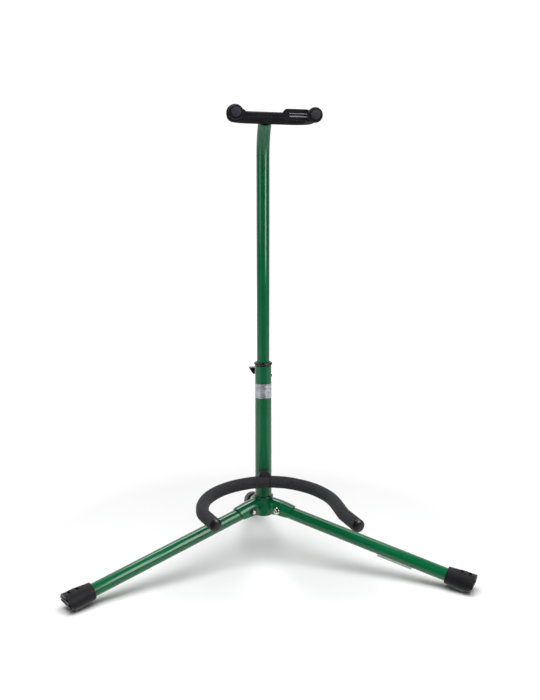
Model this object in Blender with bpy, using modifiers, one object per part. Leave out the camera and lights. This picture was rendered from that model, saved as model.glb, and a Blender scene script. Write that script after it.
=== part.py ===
"""Folding tubular guitar stand, standing open: three hinged legs round a hub, a telescoping
mast with a wing clamp, a padded cradle for the body and a padded fork for the neck.

Units are metres, +Z is up, the origin is on the floor under the mast and the front is -Y.
Each swinging, sliding or turning piece has its origin on its own joint axis.
"""

import math

import bmesh
import bpy
from mathutils import Matrix, Vector

MM = 0.001
CLEARANCE = 0.3 * MM
ROUND_STEPS = 32
SMALL_STEPS = 20

# Lower tube, hub sleeve and the sleeve's lip
LOWER_RADIUS = 12.5 * MM
TUBE_WALL = 1.2 * MM
LOWER_BOTTOM = 69.0 * MM
LOWER_TOP = 300.0 * MM
SLEEVE_RADIUS = 14.0 * MM
SLEEVE_BOTTOM = 67.0 * MM
SLEEVE_TOP = 96.6 * MM
LIP_RADIUS = 15.2 * MM
LIP_BOTTOM = 94.3 * MM
LABEL_BOTTOM = 251.3 * MM
LABEL_TOP = 272.8 * MM

# Leg brackets: folded sheet saddles, open below
BRACKET_WALL = 1.8 * MM
BRACKET_HALF_WIDTH = 11.9 * MM
BRACKET_OUT_TOP = 52.0 * MM
BRACKET_OUT_BOTTOM = 43.5 * MM

# Leg pivots and their bolts
PIVOT_OUT = 27.5 * MM
PIVOT_HEIGHT = 78.7 * MM
BOLT_RADIUS = 3.0 * MM
BOLT_HEAD_RADIUS = 5.5 * MM
BOLT_HEAD_HEIGHT = 3.4 * MM
NUT_ACROSS_FLATS = 10.0 * MM
NUT_HEIGHT = 4.6 * MM

# Legs
LEG_RADIUS = 9.5 * MM
LEG_INNER_END = 4.8 * MM
FOOT_LENGTH = 40.5 * MM
FOOT_END_WALL = 10.5 * MM
TREAD_WIDTH = 2.6 * MM
TREAD_DEPTH = 1.8 * MM
TREAD_ON_END = (3.6 * MM, 9.4 * MM)
TREAD_ON_HEEL = (2.2 * MM, 8.2 * MM)
HEEL_RUN = 10.5 * MM
FOOT_RADIUS = 15.0 * MM
FOOT_NECK_RADIUS = 12.2 * MM
FRONT_SLOPE = math.radians(12.7)
FRONT_LENGTH = 305.5 * MM
REAR_SLOPE = math.radians(20.75)
REAR_LENGTH = 194.1 * MM
LEGS = (
    ("left", math.radians(210.0), FRONT_SLOPE, FRONT_LENGTH),
    ("right", math.radians(330.0), FRONT_SLOPE, FRONT_LENGTH),
    ("rear", math.radians(90.0), REAR_SLOPE, REAR_LENGTH),
)

# Upper tube, its bend towards the front and its guide ring
UPPER_RADIUS = 9.5 * MM
UPPER_BOTTOM = 185.0 * MM
BEND_START = 603.5 * MM
BEND_RADIUS = 62.0 * MM
BEND_ANGLE = math.radians(45.0)
TUBE_TO_CROSSBAR = 11.4 * MM
GLIDE_BOTTOM = 186.0 * MM
GLIDE_TOP = 202.0 * MM
MAST_YAW = math.radians(2.5)

# Collar, rivet, clamp
COLLAR_FLANGE_RADIUS = 14.0 * MM
COLLAR_FLANGE_HEIGHT = 5.3 * MM
COLLAR_SLEEVE_BOTTOM = 276.5 * MM
CLAMP_AZIMUTH = math.radians(95.0)
CLAMP_HEIGHT = 287.5 * MM
CLAMP_NUT_RADIUS = 6.0 * MM
CLAMP_NUT_OUT = 18.0 * MM
STUD_INNER = 9.8 * MM
STUD_OUTER = 26.0 * MM
WING_INNER = 20.3 * MM
WING_OUTER = 33.0 * MM
RIVET_AZIMUTH = math.radians(354.0)
RIVET_HEIGHT = 284.5 * MM

# Cradle
CRADLE_HEIGHT = 124.5 * MM
CRADLE_FORWARD = 21.0 * MM
ROD_RADIUS = 4.25 * MM
FOAM_RADIUS = 9.0 * MM
FOAM_BORE = ROD_RADIUS + CLEARANCE
FOAM_SEAM = 7.0 * MM
CRADLE_BLOCK_HALF = 9.3 * MM
CRADLE_BLOCK_BACK = 12.8 * MM
CRADLE_BLOCK_FRONT = 23.6 * MM
CRADLE_BLOCK_BOTTOM = 116.0 * MM
CRADLE_BLOCK_DOME = 132.3 * MM
LEFT_ARM = ((81.0, 23.0), (106.0, 66.0), (None, 7.0), (60.0, 22.0), (None, 33.0))
RIGHT_ARM = ((74.0, 39.0), (120.0, 45.8), (None, 41.0), (25.0, -9.6), (None, 41.0))

# Neck fork
CROSSBAR_RADIUS = 8.4 * MM
CORE_RADIUS = 5.0 * MM
ARM_SPACING = 53.0 * MM
FORK_CORNER = 24.0 * MM
FORK_OFFSET = 5.0 * MM
FORK_ROLL = math.radians(1.3)
ARM_HEIGHT = 657.0 * MM
COVER_END = 75.5 * MM
BALL_START = 82.5 * MM
BALL_END = 98.5 * MM
BALL_RADIUS = 9.6 * MM
STRAP_MIDDLE = 79.0 * MM
STRAP_THICKNESS = 3.6 * MM
EYE_RADIUS = 11.4 * MM


def clear_scene():
    for obj in list(bpy.data.objects):
        bpy.data.objects.remove(obj, do_unlink=True)


clear_scene()
stand = bpy.data.collections.new("guitar_stand")
helpers = bpy.data.collections.new("guitar_stand_cutters")
bpy.context.scene.collection.children.link(stand)
bpy.context.scene.collection.children.link(helpers)


def material(name, colour, metallic, roughness):
    made = bpy.data.materials.new(name)
    made.use_nodes = True
    shader = made.node_tree.nodes["Principled BSDF"]
    shader.inputs["Base Color"].default_value = (*colour, 1.0)
    shader.inputs["Metallic"].default_value = metallic
    shader.inputs["Roughness"].default_value = roughness
    return made


green_paint = material("green_paint", (0.012, 0.105, 0.036), 0.0, 0.32)
black_plastic = material("black_plastic", (0.012, 0.012, 0.013), 0.0, 0.4)
black_rubber = material("black_rubber", (0.022, 0.022, 0.024), 0.0, 0.65)
black_foam = material("black_foam", (0.030, 0.030, 0.032), 0.0, 0.9)
white_nylon = material("white_nylon", (0.75, 0.75, 0.72), 0.0, 0.5)
zinc_steel = material("zinc_steel", (0.62, 0.62, 0.63), 1.0, 0.3)
silver_foil = material("silver_foil", (0.72, 0.71, 0.74), 0.6, 0.35)
paper_label = material("paper_label", (0.80, 0.79, 0.74), 0.0, 0.7)


def add(name, data, finish, matrix=None, collection=None):
    obj = bpy.data.objects.new(name, data)
    (collection or stand).objects.link(obj)
    obj.matrix_world = matrix or Matrix.Identity(4)
    if finish:
        data.materials.append(finish)
    return obj


def smooth(mesh):
    for face in mesh.polygons:
        face.use_smooth = True
    return mesh


def mesh_from(name, build):
    made = bmesh.new()
    build(made)
    mesh = bpy.data.meshes.new(name)
    bmesh.ops.recalc_face_normals(made, faces=made.faces)
    made.to_mesh(mesh)
    made.free()
    return mesh


def turned(name, profile, finish, matrix=None, ring=False, steps=ROUND_STEPS):
    """A turned piece. profile is (radius, height) down its outer side; ring closes the loop."""
    mesh = bpy.data.meshes.new(name)
    edges = [(i, i + 1) for i in range(len(profile) - 1)]
    if ring:
        edges.append((len(profile) - 1, 0))
    mesh.from_pydata([(radius, 0.0, height) for radius, height in profile], edges, [])
    obj = add(name, mesh, finish, matrix)
    screw = obj.modifiers.new("turn", "SCREW")
    screw.axis = "Z"
    screw.angle = math.tau
    screw.steps = steps
    screw.render_steps = steps
    screw.use_merge_vertices = True
    screw.merge_threshold = 1e-5
    screw.use_smooth_shade = True
    return obj


def cutter(name, data, matrix):
    obj = add(name, data, None, matrix, helpers)
    obj.hide_render = True
    obj.display_type = "WIRE"
    return obj


def cylinder_mesh(name, radius, low, high, steps=ROUND_STEPS):
    """A cylinder on the Z axis from low to high."""

    def build(made):
        bmesh.ops.create_cone(
            made, cap_ends=True, segments=steps, radius1=radius, radius2=radius, depth=high - low
        )
        bmesh.ops.translate(made, vec=(0.0, 0.0, (high + low) / 2), verts=made.verts)

    return mesh_from(name, build)


def box_mesh(name, low, high):
    def build(made):
        bmesh.ops.create_cube(made, size=1.0)
        size = Vector(high) - Vector(low)
        middle = (Vector(high) + Vector(low)) / 2
        bmesh.ops.scale(made, vec=size, verts=made.verts)
        bmesh.ops.translate(made, vec=middle, verts=made.verts)

    return mesh_from(name, build)


def prism_mesh(name, outline, low, high):
    """A flat outline in X and Z, as thick as low to high along Y."""

    def build(made):
        near = [made.verts.new((x, low, z)) for x, z in outline]
        far = [made.verts.new((x, high, z)) for x, z in outline]
        made.faces.new(near)
        made.faces.new(far[::-1])
        for i in range(len(outline)):
            after = (i + 1) % len(outline)
            made.faces.new((near[after], near[i], far[i], far[after]))

    return mesh_from(name, build)


def cut(obj, tool, operation="DIFFERENCE"):
    modifier = obj.modifiers.new(tool.name, "BOOLEAN")
    modifier.operation = operation
    modifier.solver = "EXACT"
    modifier.object = tool


def along(direction, at):
    """A matrix whose Z axis runs along direction."""
    turn = Vector(direction).to_track_quat("Z", "Y").to_matrix().to_4x4()
    return Matrix.Translation(at) @ turn


def path_points(start, heading, segments, step=math.radians(7.0)):
    """A flat path of (length, None) straights and (radius, degrees) arcs; positive turns left."""
    x, y = start
    points = [(x, y)]
    for radius, amount in segments:
        if radius is None:
            x += amount * math.cos(heading)
            y += amount * math.sin(heading)
            points.append((x, y))
            continue
        turn = math.radians(amount)
        count = max(2, math.ceil(abs(turn) / step))
        side = 1.0 if turn > 0 else -1.0
        centre_x = x - side * radius * math.sin(heading)
        centre_y = y + side * radius * math.cos(heading)
        for _ in range(count):
            heading += turn / count
            x = centre_x + side * radius * math.sin(heading)
            y = centre_y - side * radius * math.cos(heading)
            points.append((x, y))
    return points


def rod(name, points, radius, finish, matrix=None, resolution=4, capped=True):
    """A round bar or tube skin along points, as a curve with a bevel."""
    curve = bpy.data.curves.new(name, "CURVE")
    curve.dimensions = "3D"
    curve.bevel_depth = radius
    curve.bevel_resolution = resolution
    curve.use_fill_caps = capped
    curve.render_resolution_u = 0
    spline = curve.splines.new("POLY")
    spline.points.add(len(points) - 1)
    for point, place in zip(spline.points, points):
        point.co = (*place, 1.0)
    spline.use_smooth = True
    return add(name, curve, finish, matrix)


def as_mesh(obj):
    """The curve object as a mesh object of the same name and place."""
    graph = bpy.context.evaluated_depsgraph_get()
    mesh = bpy.data.meshes.new_from_object(obj.evaluated_get(graph))
    made = bmesh.new()
    made.from_mesh(mesh)
    bmesh.ops.remove_doubles(made, verts=made.verts, dist=1e-6)
    bmesh.ops.recalc_face_normals(made, faces=made.faces)
    made.to_mesh(mesh)
    made.free()
    name = obj.name
    place = obj.matrix_world.copy()
    home = obj.users_collection[0]
    bpy.data.objects.remove(obj, do_unlink=True)
    mesh.name = name
    made_obj = bpy.data.objects.new(name, mesh)
    home.objects.link(made_obj)
    made_obj.matrix_world = place
    return made_obj


def thicken(obj, thickness):
    solid = obj.modifiers.new("wall", "SOLIDIFY")
    solid.thickness = thickness
    solid.offset = -1.0
    solid.use_even_offset = True
    solid.use_quality_normals = True


# Lower tube with its plug, the hub sleeve and the label band
lower_tube = turned(
    "lower_tube",
    [
        (LOWER_RADIUS, LOWER_TOP),
        (LOWER_RADIUS, LOWER_BOTTOM),
        (LOWER_RADIUS - TUBE_WALL, LOWER_BOTTOM),
        (LOWER_RADIUS - TUBE_WALL, LOWER_TOP),
    ],
    green_paint,
    ring=True,
    steps=40,
)
plug_radius = LOWER_RADIUS - TUBE_WALL - CLEARANCE
turned(
    "tube_bottom_plug",
    [
        (0.0, LOWER_BOTTOM + 13.0 * MM),
        (plug_radius - 0.8 * MM, LOWER_BOTTOM + 13.0 * MM),
        (plug_radius, LOWER_BOTTOM + 11.0 * MM),
        (plug_radius, LOWER_BOTTOM + 0.6 * MM),
        (plug_radius - 0.6 * MM, LOWER_BOTTOM),
        (0.0, LOWER_BOTTOM),
    ],
    black_plastic,
)
sleeve_bore = LOWER_RADIUS + CLEARANCE
turned(
    "hub_sleeve",
    [
        (LIP_RADIUS - 0.7 * MM, SLEEVE_TOP),
        (LIP_RADIUS, SLEEVE_TOP - 0.8 * MM),
        (LIP_RADIUS, LIP_BOTTOM + 0.8 * MM),
        (SLEEVE_RADIUS, LIP_BOTTOM - 0.6 * MM),
        (SLEEVE_RADIUS, SLEEVE_BOTTOM + 0.6 * MM),
        (SLEEVE_RADIUS - 0.5 * MM, SLEEVE_BOTTOM),
        (sleeve_bore, SLEEVE_BOTTOM),
        (sleeve_bore, SLEEVE_TOP),
    ],
    green_paint,
    ring=True,
    steps=40,
)
turned(
    "label_band",
    [
        (LOWER_RADIUS + 0.35 * MM, LABEL_TOP),
        (LOWER_RADIUS + 0.35 * MM, LABEL_BOTTOM),
        (LOWER_RADIUS + 0.1 * MM, LABEL_BOTTOM),
        (LOWER_RADIUS + 0.1 * MM, LABEL_TOP),
    ],
    silver_foil,
    ring=True,
    steps=40,
)


def bracket_top(out, rear):
    """Height of the saddle's crown, out being the distance from the mast's axis."""
    beyond = out - 13.0 * MM
    if rear:
        return 94.5 * MM - 0.05 * beyond - 181.7 * beyond**3
    return 94.5 * MM - 0.10 * beyond - 3.6 * beyond**2


def bracket_bottom(out):
    return 72.0 * MM - 0.12 * max(0.0, out - 27.0 * MM)


def bracket_mesh(name, rear):
    """The saddle's outer skin: side wall, round crown, side wall, from the mast outwards."""
    stations = 9
    arc = 14
    start = 6.0 * MM

    def build(made):
        rows = []
        for i in range(stations + 1):
            share = i / stations
            row = []
            for j in range(-1, arc + 2):
                out_here = BRACKET_OUT_TOP
                for _ in range(4):
                    out = start + share * (out_here - start)
                    top = bracket_top(max(out, 13.0 * MM), rear)
                    low = bracket_bottom(out)
                    spring = top - BRACKET_HALF_WIDTH
                    angle = math.pi * min(max(j, 0), arc) / arc
                    height = spring + BRACKET_HALF_WIDTH * math.sin(angle)
                    if j in (-1, arc + 1):
                        height = low
                    lift = (height - low) / (top - low)
                    out_here = BRACKET_OUT_BOTTOM + lift * (BRACKET_OUT_TOP - BRACKET_OUT_BOTTOM)
                side = BRACKET_HALF_WIDTH * math.cos(angle)
                row.append(made.verts.new((out, side, height)))
            rows.append(row)
        for near, far in zip(rows, rows[1:]):
            for j in range(len(near) - 1):
                made.faces.new((near[j], far[j], far[j + 1], near[j + 1]))

    mesh = mesh_from(name, build)
    middle = mesh.polygons[len(mesh.polygons) // 2]
    if middle.normal.z < 0:
        mesh.flip_normals()
    return smooth(mesh)


def leg_matrix(azimuth, slope):
    """Leg frame: origin on the pivot, X out along the leg, Y along the bolt, Z above the leg."""
    pivot = Vector(
        (PIVOT_OUT * math.cos(azimuth), PIVOT_OUT * math.sin(azimuth), PIVOT_HEIGHT)
    )
    turn = Matrix.Rotation(azimuth, 4, "Z") @ Matrix.Rotation(slope, 4, "Y")
    return Matrix.Translation(pivot) @ turn


X_AS_Z = Matrix.Rotation(math.radians(90.0), 4, "Y")
Y_AS_Z = Matrix.Rotation(math.radians(-90.0), 4, "X")

mast_cutter = cutter(
    "cut_round_mast",
    cylinder_mesh("cut_round_mast", SLEEVE_RADIUS + CLEARANCE, 40 * MM, 120 * MM, 48),
    Matrix.Identity(4),
)
lip_cutter = cutter(
    "cut_round_lip",
    cylinder_mesh("cut_round_lip", LIP_RADIUS + CLEARANCE, LIP_BOTTOM - 1.0 * MM, 120 * MM, 48),
    Matrix.Identity(4),
)
floor_cutter = cutter(
    "cut_floor",
    box_mesh("cut_floor", (-0.5, -0.5, -0.1), (0.5, 0.5, 0.0)),
    Matrix.Identity(4),
)
bore_radius = BOLT_RADIUS + CLEARANCE
wall_out = BRACKET_HALF_WIDTH

for side, azimuth, slope, length in LEGS:
    facing = Matrix.Rotation(azimuth, 4, "Z")
    in_leg = leg_matrix(azimuth, slope)
    at_pivot = Matrix.Translation(in_leg.translation) @ facing
    across = at_pivot @ Y_AS_Z
    bore = cutter(
        "cut_bolt_hole_" + side,
        cylinder_mesh("cut_bolt_hole_" + side, bore_radius, -20 * MM, 20 * MM, SMALL_STEPS),
        across,
    )
    bracket = add("leg_bracket_" + side, bracket_mesh("leg_bracket", side == "rear"), green_paint, facing)
    thicken(bracket, BRACKET_WALL)
    cut(bracket, mast_cutter)
    cut(bracket, lip_cutter)
    cut(bracket, bore)

    # The bolt's head is on the clockwise side of the leg, seen from above
    head = -wall_out - 0.15 * MM
    seat = wall_out + 0.15 * MM
    turned(
        "leg_bolt_" + side,
        [
            (0.0, head - BOLT_HEAD_HEIGHT),
            (2.6 * MM, head - BOLT_HEAD_HEIGHT),
            (4.4 * MM, head - BOLT_HEAD_HEIGHT + 0.8 * MM),
            (BOLT_HEAD_RADIUS, head - 1.2 * MM),
            (BOLT_HEAD_RADIUS, head),
            (BOLT_RADIUS, head),
            (BOLT_RADIUS, seat + NUT_HEIGHT + 1.2 * MM),
            (BOLT_RADIUS - 0.6 * MM, seat + NUT_HEIGHT + 1.8 * MM),
            (0.0, seat + NUT_HEIGHT + 1.8 * MM),
        ][::-1],
        zinc_steel,
        across,
        steps=SMALL_STEPS,
    )
    nut = add(
        "leg_nut_" + side,
        cylinder_mesh(
            "leg_nut", NUT_ACROSS_FLATS / math.sqrt(3.0), seat, seat + NUT_HEIGHT, 6
        ),
        zinc_steel,
        across,
    )
    cut(nut, bore)

    tube_end = length - FOOT_END_WALL
    tube = turned(
        "leg_tube_" + side,
        [
            (LEG_RADIUS, tube_end),
            (LEG_RADIUS, -LEG_INNER_END),
            (LEG_RADIUS - TUBE_WALL, -LEG_INNER_END),
            (LEG_RADIUS - TUBE_WALL, tube_end),
        ],
        green_paint,
        in_leg @ X_AS_Z,
        ring=True,
    )
    cut(tube, bore)
    insert_radius = LEG_RADIUS - TUBE_WALL - CLEARANCE
    insert = turned(
        "leg_insert_" + side,
        [
            (0.0, 14.0 * MM),
            (insert_radius - 0.8 * MM, 14.0 * MM),
            (insert_radius, 12.5 * MM),
            (insert_radius, -LEG_INNER_END + 0.6 * MM),
            (0.0, -LEG_INNER_END + 0.6 * MM),
        ],
        black_plastic,
        in_leg @ X_AS_Z,
    )
    cut(insert, bore)

    neck = length - FOOT_LENGTH
    foot = turned(
        "foot_cap_" + side,
        [
            (0.0, length),
            (FOOT_RADIUS - 1.2 * MM, length),
            (FOOT_RADIUS, length - 1.2 * MM),
            (FOOT_RADIUS, length - 16.5 * MM),
            (FOOT_NECK_RADIUS + 0.9 * MM, neck + 9.0 * MM),
            (FOOT_NECK_RADIUS, neck + 1.0 * MM),
            (FOOT_NECK_RADIUS - 0.8 * MM, neck),
            (LEG_RADIUS + CLEARANCE, neck),
            (LEG_RADIUS + CLEARANCE, tube_end + CLEARANCE),
            (0.0, tube_end + CLEARANCE),
        ],
        black_rubber,
        in_leg @ X_AS_Z,
    )
    bevel = cutter(
        "cut_heel_" + side,
        prism_mesh(
            "cut_heel",
            [
                (length - HEEL_RUN, -FOOT_RADIUS),
                (length + HEEL_RUN, FOOT_RADIUS),
                (length + 20.0 * MM, -30.0 * MM),
                (length - HEEL_RUN, -30.0 * MM),
            ],
            -30 * MM,
            30 * MM,
        ),
        in_leg,
    )
    cut(foot, bevel)
    cut(foot, floor_cutter)

    # Tread grooves across the end, from its top down, and across the heel
    heel_down = Vector((-HEEL_RUN, -FOOT_RADIUS)).normalized()
    faces = [
        (Vector((length, FOOT_RADIUS)), Vector((0.0, -1.0)), TREAD_ON_END),
        (Vector((length, 0.0)), heel_down, TREAD_ON_HEEL),
    ]
    for corner, down, starts in faces:
        inward = Vector((down.y, -down.x))
        for number, start in enumerate(starts):
            near = corner + down * start
            far = near + down * TREAD_WIDTH
            outline = [
                near - inward * 3.0 * MM,
                far - inward * 3.0 * MM,
                far + inward * TREAD_DEPTH,
                near + inward * TREAD_DEPTH,
            ]
            name = f"cut_tread_{side}_{number}_{'heel' if corner.y == 0.0 else 'end'}"
            groove = prism_mesh(name, [tuple(p) for p in outline], -20 * MM, 20 * MM)
            cut(foot, cutter(name, groove, in_leg))

# A paper label under the right leg, bent to the tube
right_leg = leg_matrix(LEGS[1][1], FRONT_SLOPE)


def label_skin(made):
    rows = []
    for along_leg in (152.0 * MM, 206.0 * MM):
        row = []
        for j in range(9):
            angle = math.radians(-128.0 + 9.5 * j)
            reach = LEG_RADIUS + 0.3 * MM
            row.append(
                made.verts.new((along_leg, reach * math.cos(angle), reach * math.sin(angle)))
            )
        rows.append(row)
    for j in range(8):
        made.faces.new((rows[0][j], rows[1][j], rows[1][j + 1], rows[0][j + 1]))


label_mesh = mesh_from("leg_label", label_skin)
if label_mesh.polygons[4].normal.z > 0:
    label_mesh.flip_normals()
leg_label = add("leg_label", smooth(label_mesh), paper_label, right_leg)
thicken(leg_label, 0.2 * MM)

# Upper tube with its bend, plug and guide ring, turned a little on the mast
turn_mast = Matrix.Rotation(MAST_YAW, 4, "Z")
bend = path_points((0.0, 0.0), 0.0, [(BEND_RADIUS, math.degrees(BEND_ANGLE))], math.radians(5.0))
mast_line = [(0.0, 0.0, UPPER_BOTTOM)]
mast_line += [(0.0, -side, BEND_START + rise) for rise, side in bend]
bend_forward = BEND_RADIUS * (1.0 - math.cos(BEND_ANGLE))
bend_height = BEND_START + BEND_RADIUS * math.sin(BEND_ANGLE)
tip = TUBE_TO_CROSSBAR - CORE_RADIUS - 0.8 * MM
crossbar_forward = bend_forward + TUBE_TO_CROSSBAR * math.sin(BEND_ANGLE)
crossbar_height = bend_height + TUBE_TO_CROSSBAR * math.cos(BEND_ANGLE)
mast_line.append(
    (0.0, -bend_forward - tip * math.sin(BEND_ANGLE), bend_height + tip * math.cos(BEND_ANGLE))
)
upper_tube = as_mesh(
    rod("upper_tube", mast_line, UPPER_RADIUS, green_paint, turn_mast, 6, capped=False)
)
thicken(upper_tube, TUBE_WALL)
upper_plug_radius = UPPER_RADIUS - TUBE_WALL - CLEARANCE
turned(
    "upper_tube_plug",
    [
        (0.0, UPPER_BOTTOM + 14.0 * MM),
        (upper_plug_radius, UPPER_BOTTOM + 13.0 * MM),
        (upper_plug_radius, UPPER_BOTTOM - CLEARANCE),
        (UPPER_RADIUS, UPPER_BOTTOM - CLEARANCE),
        (UPPER_RADIUS, UPPER_BOTTOM - 2.0 * MM),
        (0.0, UPPER_BOTTOM - 2.5 * MM),
    ],
    black_plastic,
)
turned(
    "glide_ring",
    [
        (LOWER_RADIUS - TUBE_WALL - CLEARANCE, GLIDE_TOP - 0.8 * MM),
        (LOWER_RADIUS - TUBE_WALL - CLEARANCE, GLIDE_BOTTOM + 0.8 * MM),
        (UPPER_RADIUS + CLEARANCE, GLIDE_BOTTOM),
        (UPPER_RADIUS + CLEARANCE, GLIDE_TOP),
    ],
    white_nylon,
    ring=True,
)

# Collar bush on the lower tube's top, with a hole for the clamp's stud
collar_bore = UPPER_RADIUS + CLEARANCE
collar_sleeve = LOWER_RADIUS - TUBE_WALL - CLEARANCE
flange_bottom = LOWER_TOP + 0.2 * MM
flange_top = LOWER_TOP + COLLAR_FLANGE_HEIGHT
flange_middle = (flange_bottom + flange_top) / 2
bead = []
for i in range(9):
    angle = math.radians(90.0 - 22.5 * i)
    bead.append(
        (
            COLLAR_FLANGE_RADIUS - 2.55 * MM + 2.55 * MM * math.cos(angle),
            flange_middle + (flange_top - flange_bottom) / 2 * math.sin(angle),
        )
    )
collar = turned(
    "collar_bush",
    bead
    + [
        (collar_sleeve - 0.05 * MM, flange_bottom),
        (collar_sleeve, COLLAR_SLEEVE_BOTTOM),
        (collar_bore, COLLAR_SLEEVE_BOTTOM),
        (collar_bore, flange_top),
    ],
    black_plastic,
    ring=True,
    steps=40,
)

clamp_out = Vector((math.cos(CLAMP_AZIMUTH), math.sin(CLAMP_AZIMUTH), 0.0))
clamp_at = Vector((0.0, 0.0, CLAMP_HEIGHT))
# Clamp frame: Z out along the stud, Y up
clamp_frame = Matrix.Translation(clamp_at) @ Matrix.Rotation(CLAMP_AZIMUTH, 4, "Z") @ X_AS_Z
clamp_frame = clamp_frame @ Matrix.Rotation(math.radians(90.0), 4, "Z")
stud_cutter = cutter(
    "cut_clamp_stud",
    cylinder_mesh("cut_clamp_stud", BOLT_RADIUS + CLEARANCE, 4 * MM, 26.6 * MM, SMALL_STEPS),
    clamp_frame,
)
cut(collar, stud_cutter)
cut(lower_tube, stud_cutter)
clamp_nut = add(
    "clamp_nut",
    cylinder_mesh("clamp_nut", CLAMP_NUT_RADIUS, 8.0 * MM, CLAMP_NUT_OUT, 28),
    green_paint,
    clamp_frame,
)
tube_cutter = cutter(
    "cut_round_lower_tube",
    cylinder_mesh(
        "cut_round_lower_tube", LOWER_RADIUS + CLEARANCE, 100 * MM, 340 * MM, 48
    ),
    Matrix.Identity(4),
)
cut(clamp_nut, tube_cutter)
cut(clamp_nut, stud_cutter)
turned(
    "wing_stud",
    [
        (0.0, STUD_OUTER),
        (BOLT_RADIUS, STUD_OUTER),
        (BOLT_RADIUS, STUD_INNER + 0.8 * MM),
        (BOLT_RADIUS - 0.8 * MM, STUD_INNER),
        (0.0, STUD_INNER),
    ],
    zinc_steel,
    clamp_frame,
    steps=SMALL_STEPS,
)


def wing_outline():
    """The wing head seen along the stud, X across and Z up, as it stands when tightened."""
    right = [
        (4.5 * MM, -7.6 * MM),
        (7.5 * MM, -5.6 * MM),
        (11.8 * MM, -5.0 * MM),
        (13.2 * MM, -3.6 * MM),
        (16.6 * MM, 2.2 * MM),
        (16.8 * MM, 3.6 * MM),
        (15.4 * MM, 4.6 * MM),
        (8.0 * MM, 4.6 * MM),
        (5.0 * MM, 7.2 * MM),
    ]
    return right + [(-x, z) for x, z in right[::-1]]


wing_head = add(
    "wing_head",
    prism_mesh("wing_head", wing_outline(), WING_INNER, WING_OUTER),
    black_plastic,
    clamp_frame @ Matrix.Rotation(math.radians(90.0), 4, "X") @ Matrix.Rotation(math.pi, 4, "Y"),
)
wing_head.matrix_world = clamp_frame @ Matrix(
    ((-1.0, 0.0, 0.0, 0.0), (0.0, 0.0, 1.0, 0.0), (0.0, 1.0, 0.0, 0.0), (0.0, 0.0, 0.0, 1.0))
)
wing_bevel = wing_head.modifiers.new("soft_edges", "BEVEL")
wing_bevel.width = 1.0 * MM
wing_bevel.segments = 2
wing_bevel.limit_method = "ANGLE"
wing_bevel.angle_limit = math.radians(50.0)
cut(wing_head, stud_cutter)

rivet_frame = Matrix.Translation((0.0, 0.0, RIVET_HEIGHT)) @ Matrix.Rotation(RIVET_AZIMUTH, 4, "Z")
rivet_frame = rivet_frame @ X_AS_Z
rivet_hole = cutter(
    "cut_rivet",
    cylinder_mesh("cut_rivet", 1.9 * MM, 10.6 * MM, 16 * MM, 16),
    rivet_frame,
)
cut(lower_tube, rivet_hole)
turned(
    "collar_rivet",
    [
        (0.0, 14.6 * MM),
        (1.4 * MM, 14.4 * MM),
        (2.5 * MM, 13.3 * MM),
        (2.5 * MM, 12.75 * MM),
        (1.6 * MM, 12.7 * MM),
        (1.6 * MM, 11.2 * MM),
        (0.0, 11.2 * MM),
    ],
    zinc_steel,
    rivet_frame,
    steps=16,
)

# Cradle: block on the mast's front, screw, rod, two foam sleeves and end caps
block_outline = [
    (-CRADLE_BLOCK_HALF, CRADLE_BLOCK_BOTTOM + 2.0 * MM),
    (-CRADLE_BLOCK_HALF + 2.0 * MM, CRADLE_BLOCK_BOTTOM),
    (CRADLE_BLOCK_HALF - 2.0 * MM, CRADLE_BLOCK_BOTTOM),
    (CRADLE_BLOCK_HALF, CRADLE_BLOCK_BOTTOM + 2.0 * MM),
]
for i in range(13):
    angle = math.pi * i / 12
    block_outline.append(
        (
            CRADLE_BLOCK_HALF * math.cos(angle),
            CRADLE_BLOCK_DOME + CRADLE_BLOCK_HALF * math.sin(angle),
        )
    )
cradle_block = add(
    "cradle_bracket",
    prism_mesh("cradle_bracket", block_outline, -CRADLE_BLOCK_FRONT, -5.0 * MM),
    black_plastic,
)
cut(cradle_block, tube_cutter)
rod_cutter = cutter(
    "cut_cradle_rod",
    cylinder_mesh("cut_cradle_rod", FOAM_BORE, -30 * MM, 30 * MM, 24),
    Matrix.Translation((0.0, -CRADLE_FORWARD, CRADLE_HEIGHT)) @ X_AS_Z,
)
cut(cradle_block, rod_cutter)

screw_height = CRADLE_BLOCK_DOME + 2.8 * MM
screw_frame = Matrix.Translation((0.0, 0.0, screw_height)) @ Matrix.Rotation(
    math.radians(-90.0), 4, "X"
)
screw_cutter = cutter(
    "cut_cradle_screw",
    cylinder_mesh("cut_cradle_screw", 2.8 * MM, -21.4 * MM, 24 * MM, 16),
    screw_frame,
)
cut(lower_tube, screw_cutter)
cut(cradle_block, screw_cutter)
turned(
    "cradle_screw",
    [
        (0.0, 16.0 * MM),
        (2.4 * MM, 16.0 * MM),
        (4.6 * MM, 14.4 * MM),
        (4.8 * MM, 12.8 * MM),
        (2.5 * MM, 12.8 * MM),
        (2.5 * MM, -20.6 * MM),
        (0.0, -21.0 * MM),
    ],
    zinc_steel,
    screw_frame,
    steps=SMALL_STEPS,
)


def arm_path(segments, side):
    """The arm's path from the middle outwards, in world X and Y, side being +1 to the right."""
    sized = []
    for radius, amount in segments:
        if radius is None:
            sized.append((None, amount * MM))
        else:
            sized.append((radius * MM, amount))
    flat = path_points((0.0, CRADLE_FORWARD), 0.0, sized)
    return [(side * u, -v, CRADLE_HEIGHT) for u, v in flat]


def extend(points, extra):
    """The same path made longer at its last point."""
    last = Vector(points[-1])
    direction = (last - Vector(points[-2])).normalized()
    return points[:-1] + [tuple(last + direction * extra)]


left_path = arm_path(LEFT_ARM, -1.0)
right_path = arm_path(RIGHT_ARM, 1.0)
rod("cradle_rod", extend(left_path, 1.6 * MM)[::-1] + extend(right_path, 1.6 * MM)[1:], ROD_RADIUS, zinc_steel)

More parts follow.
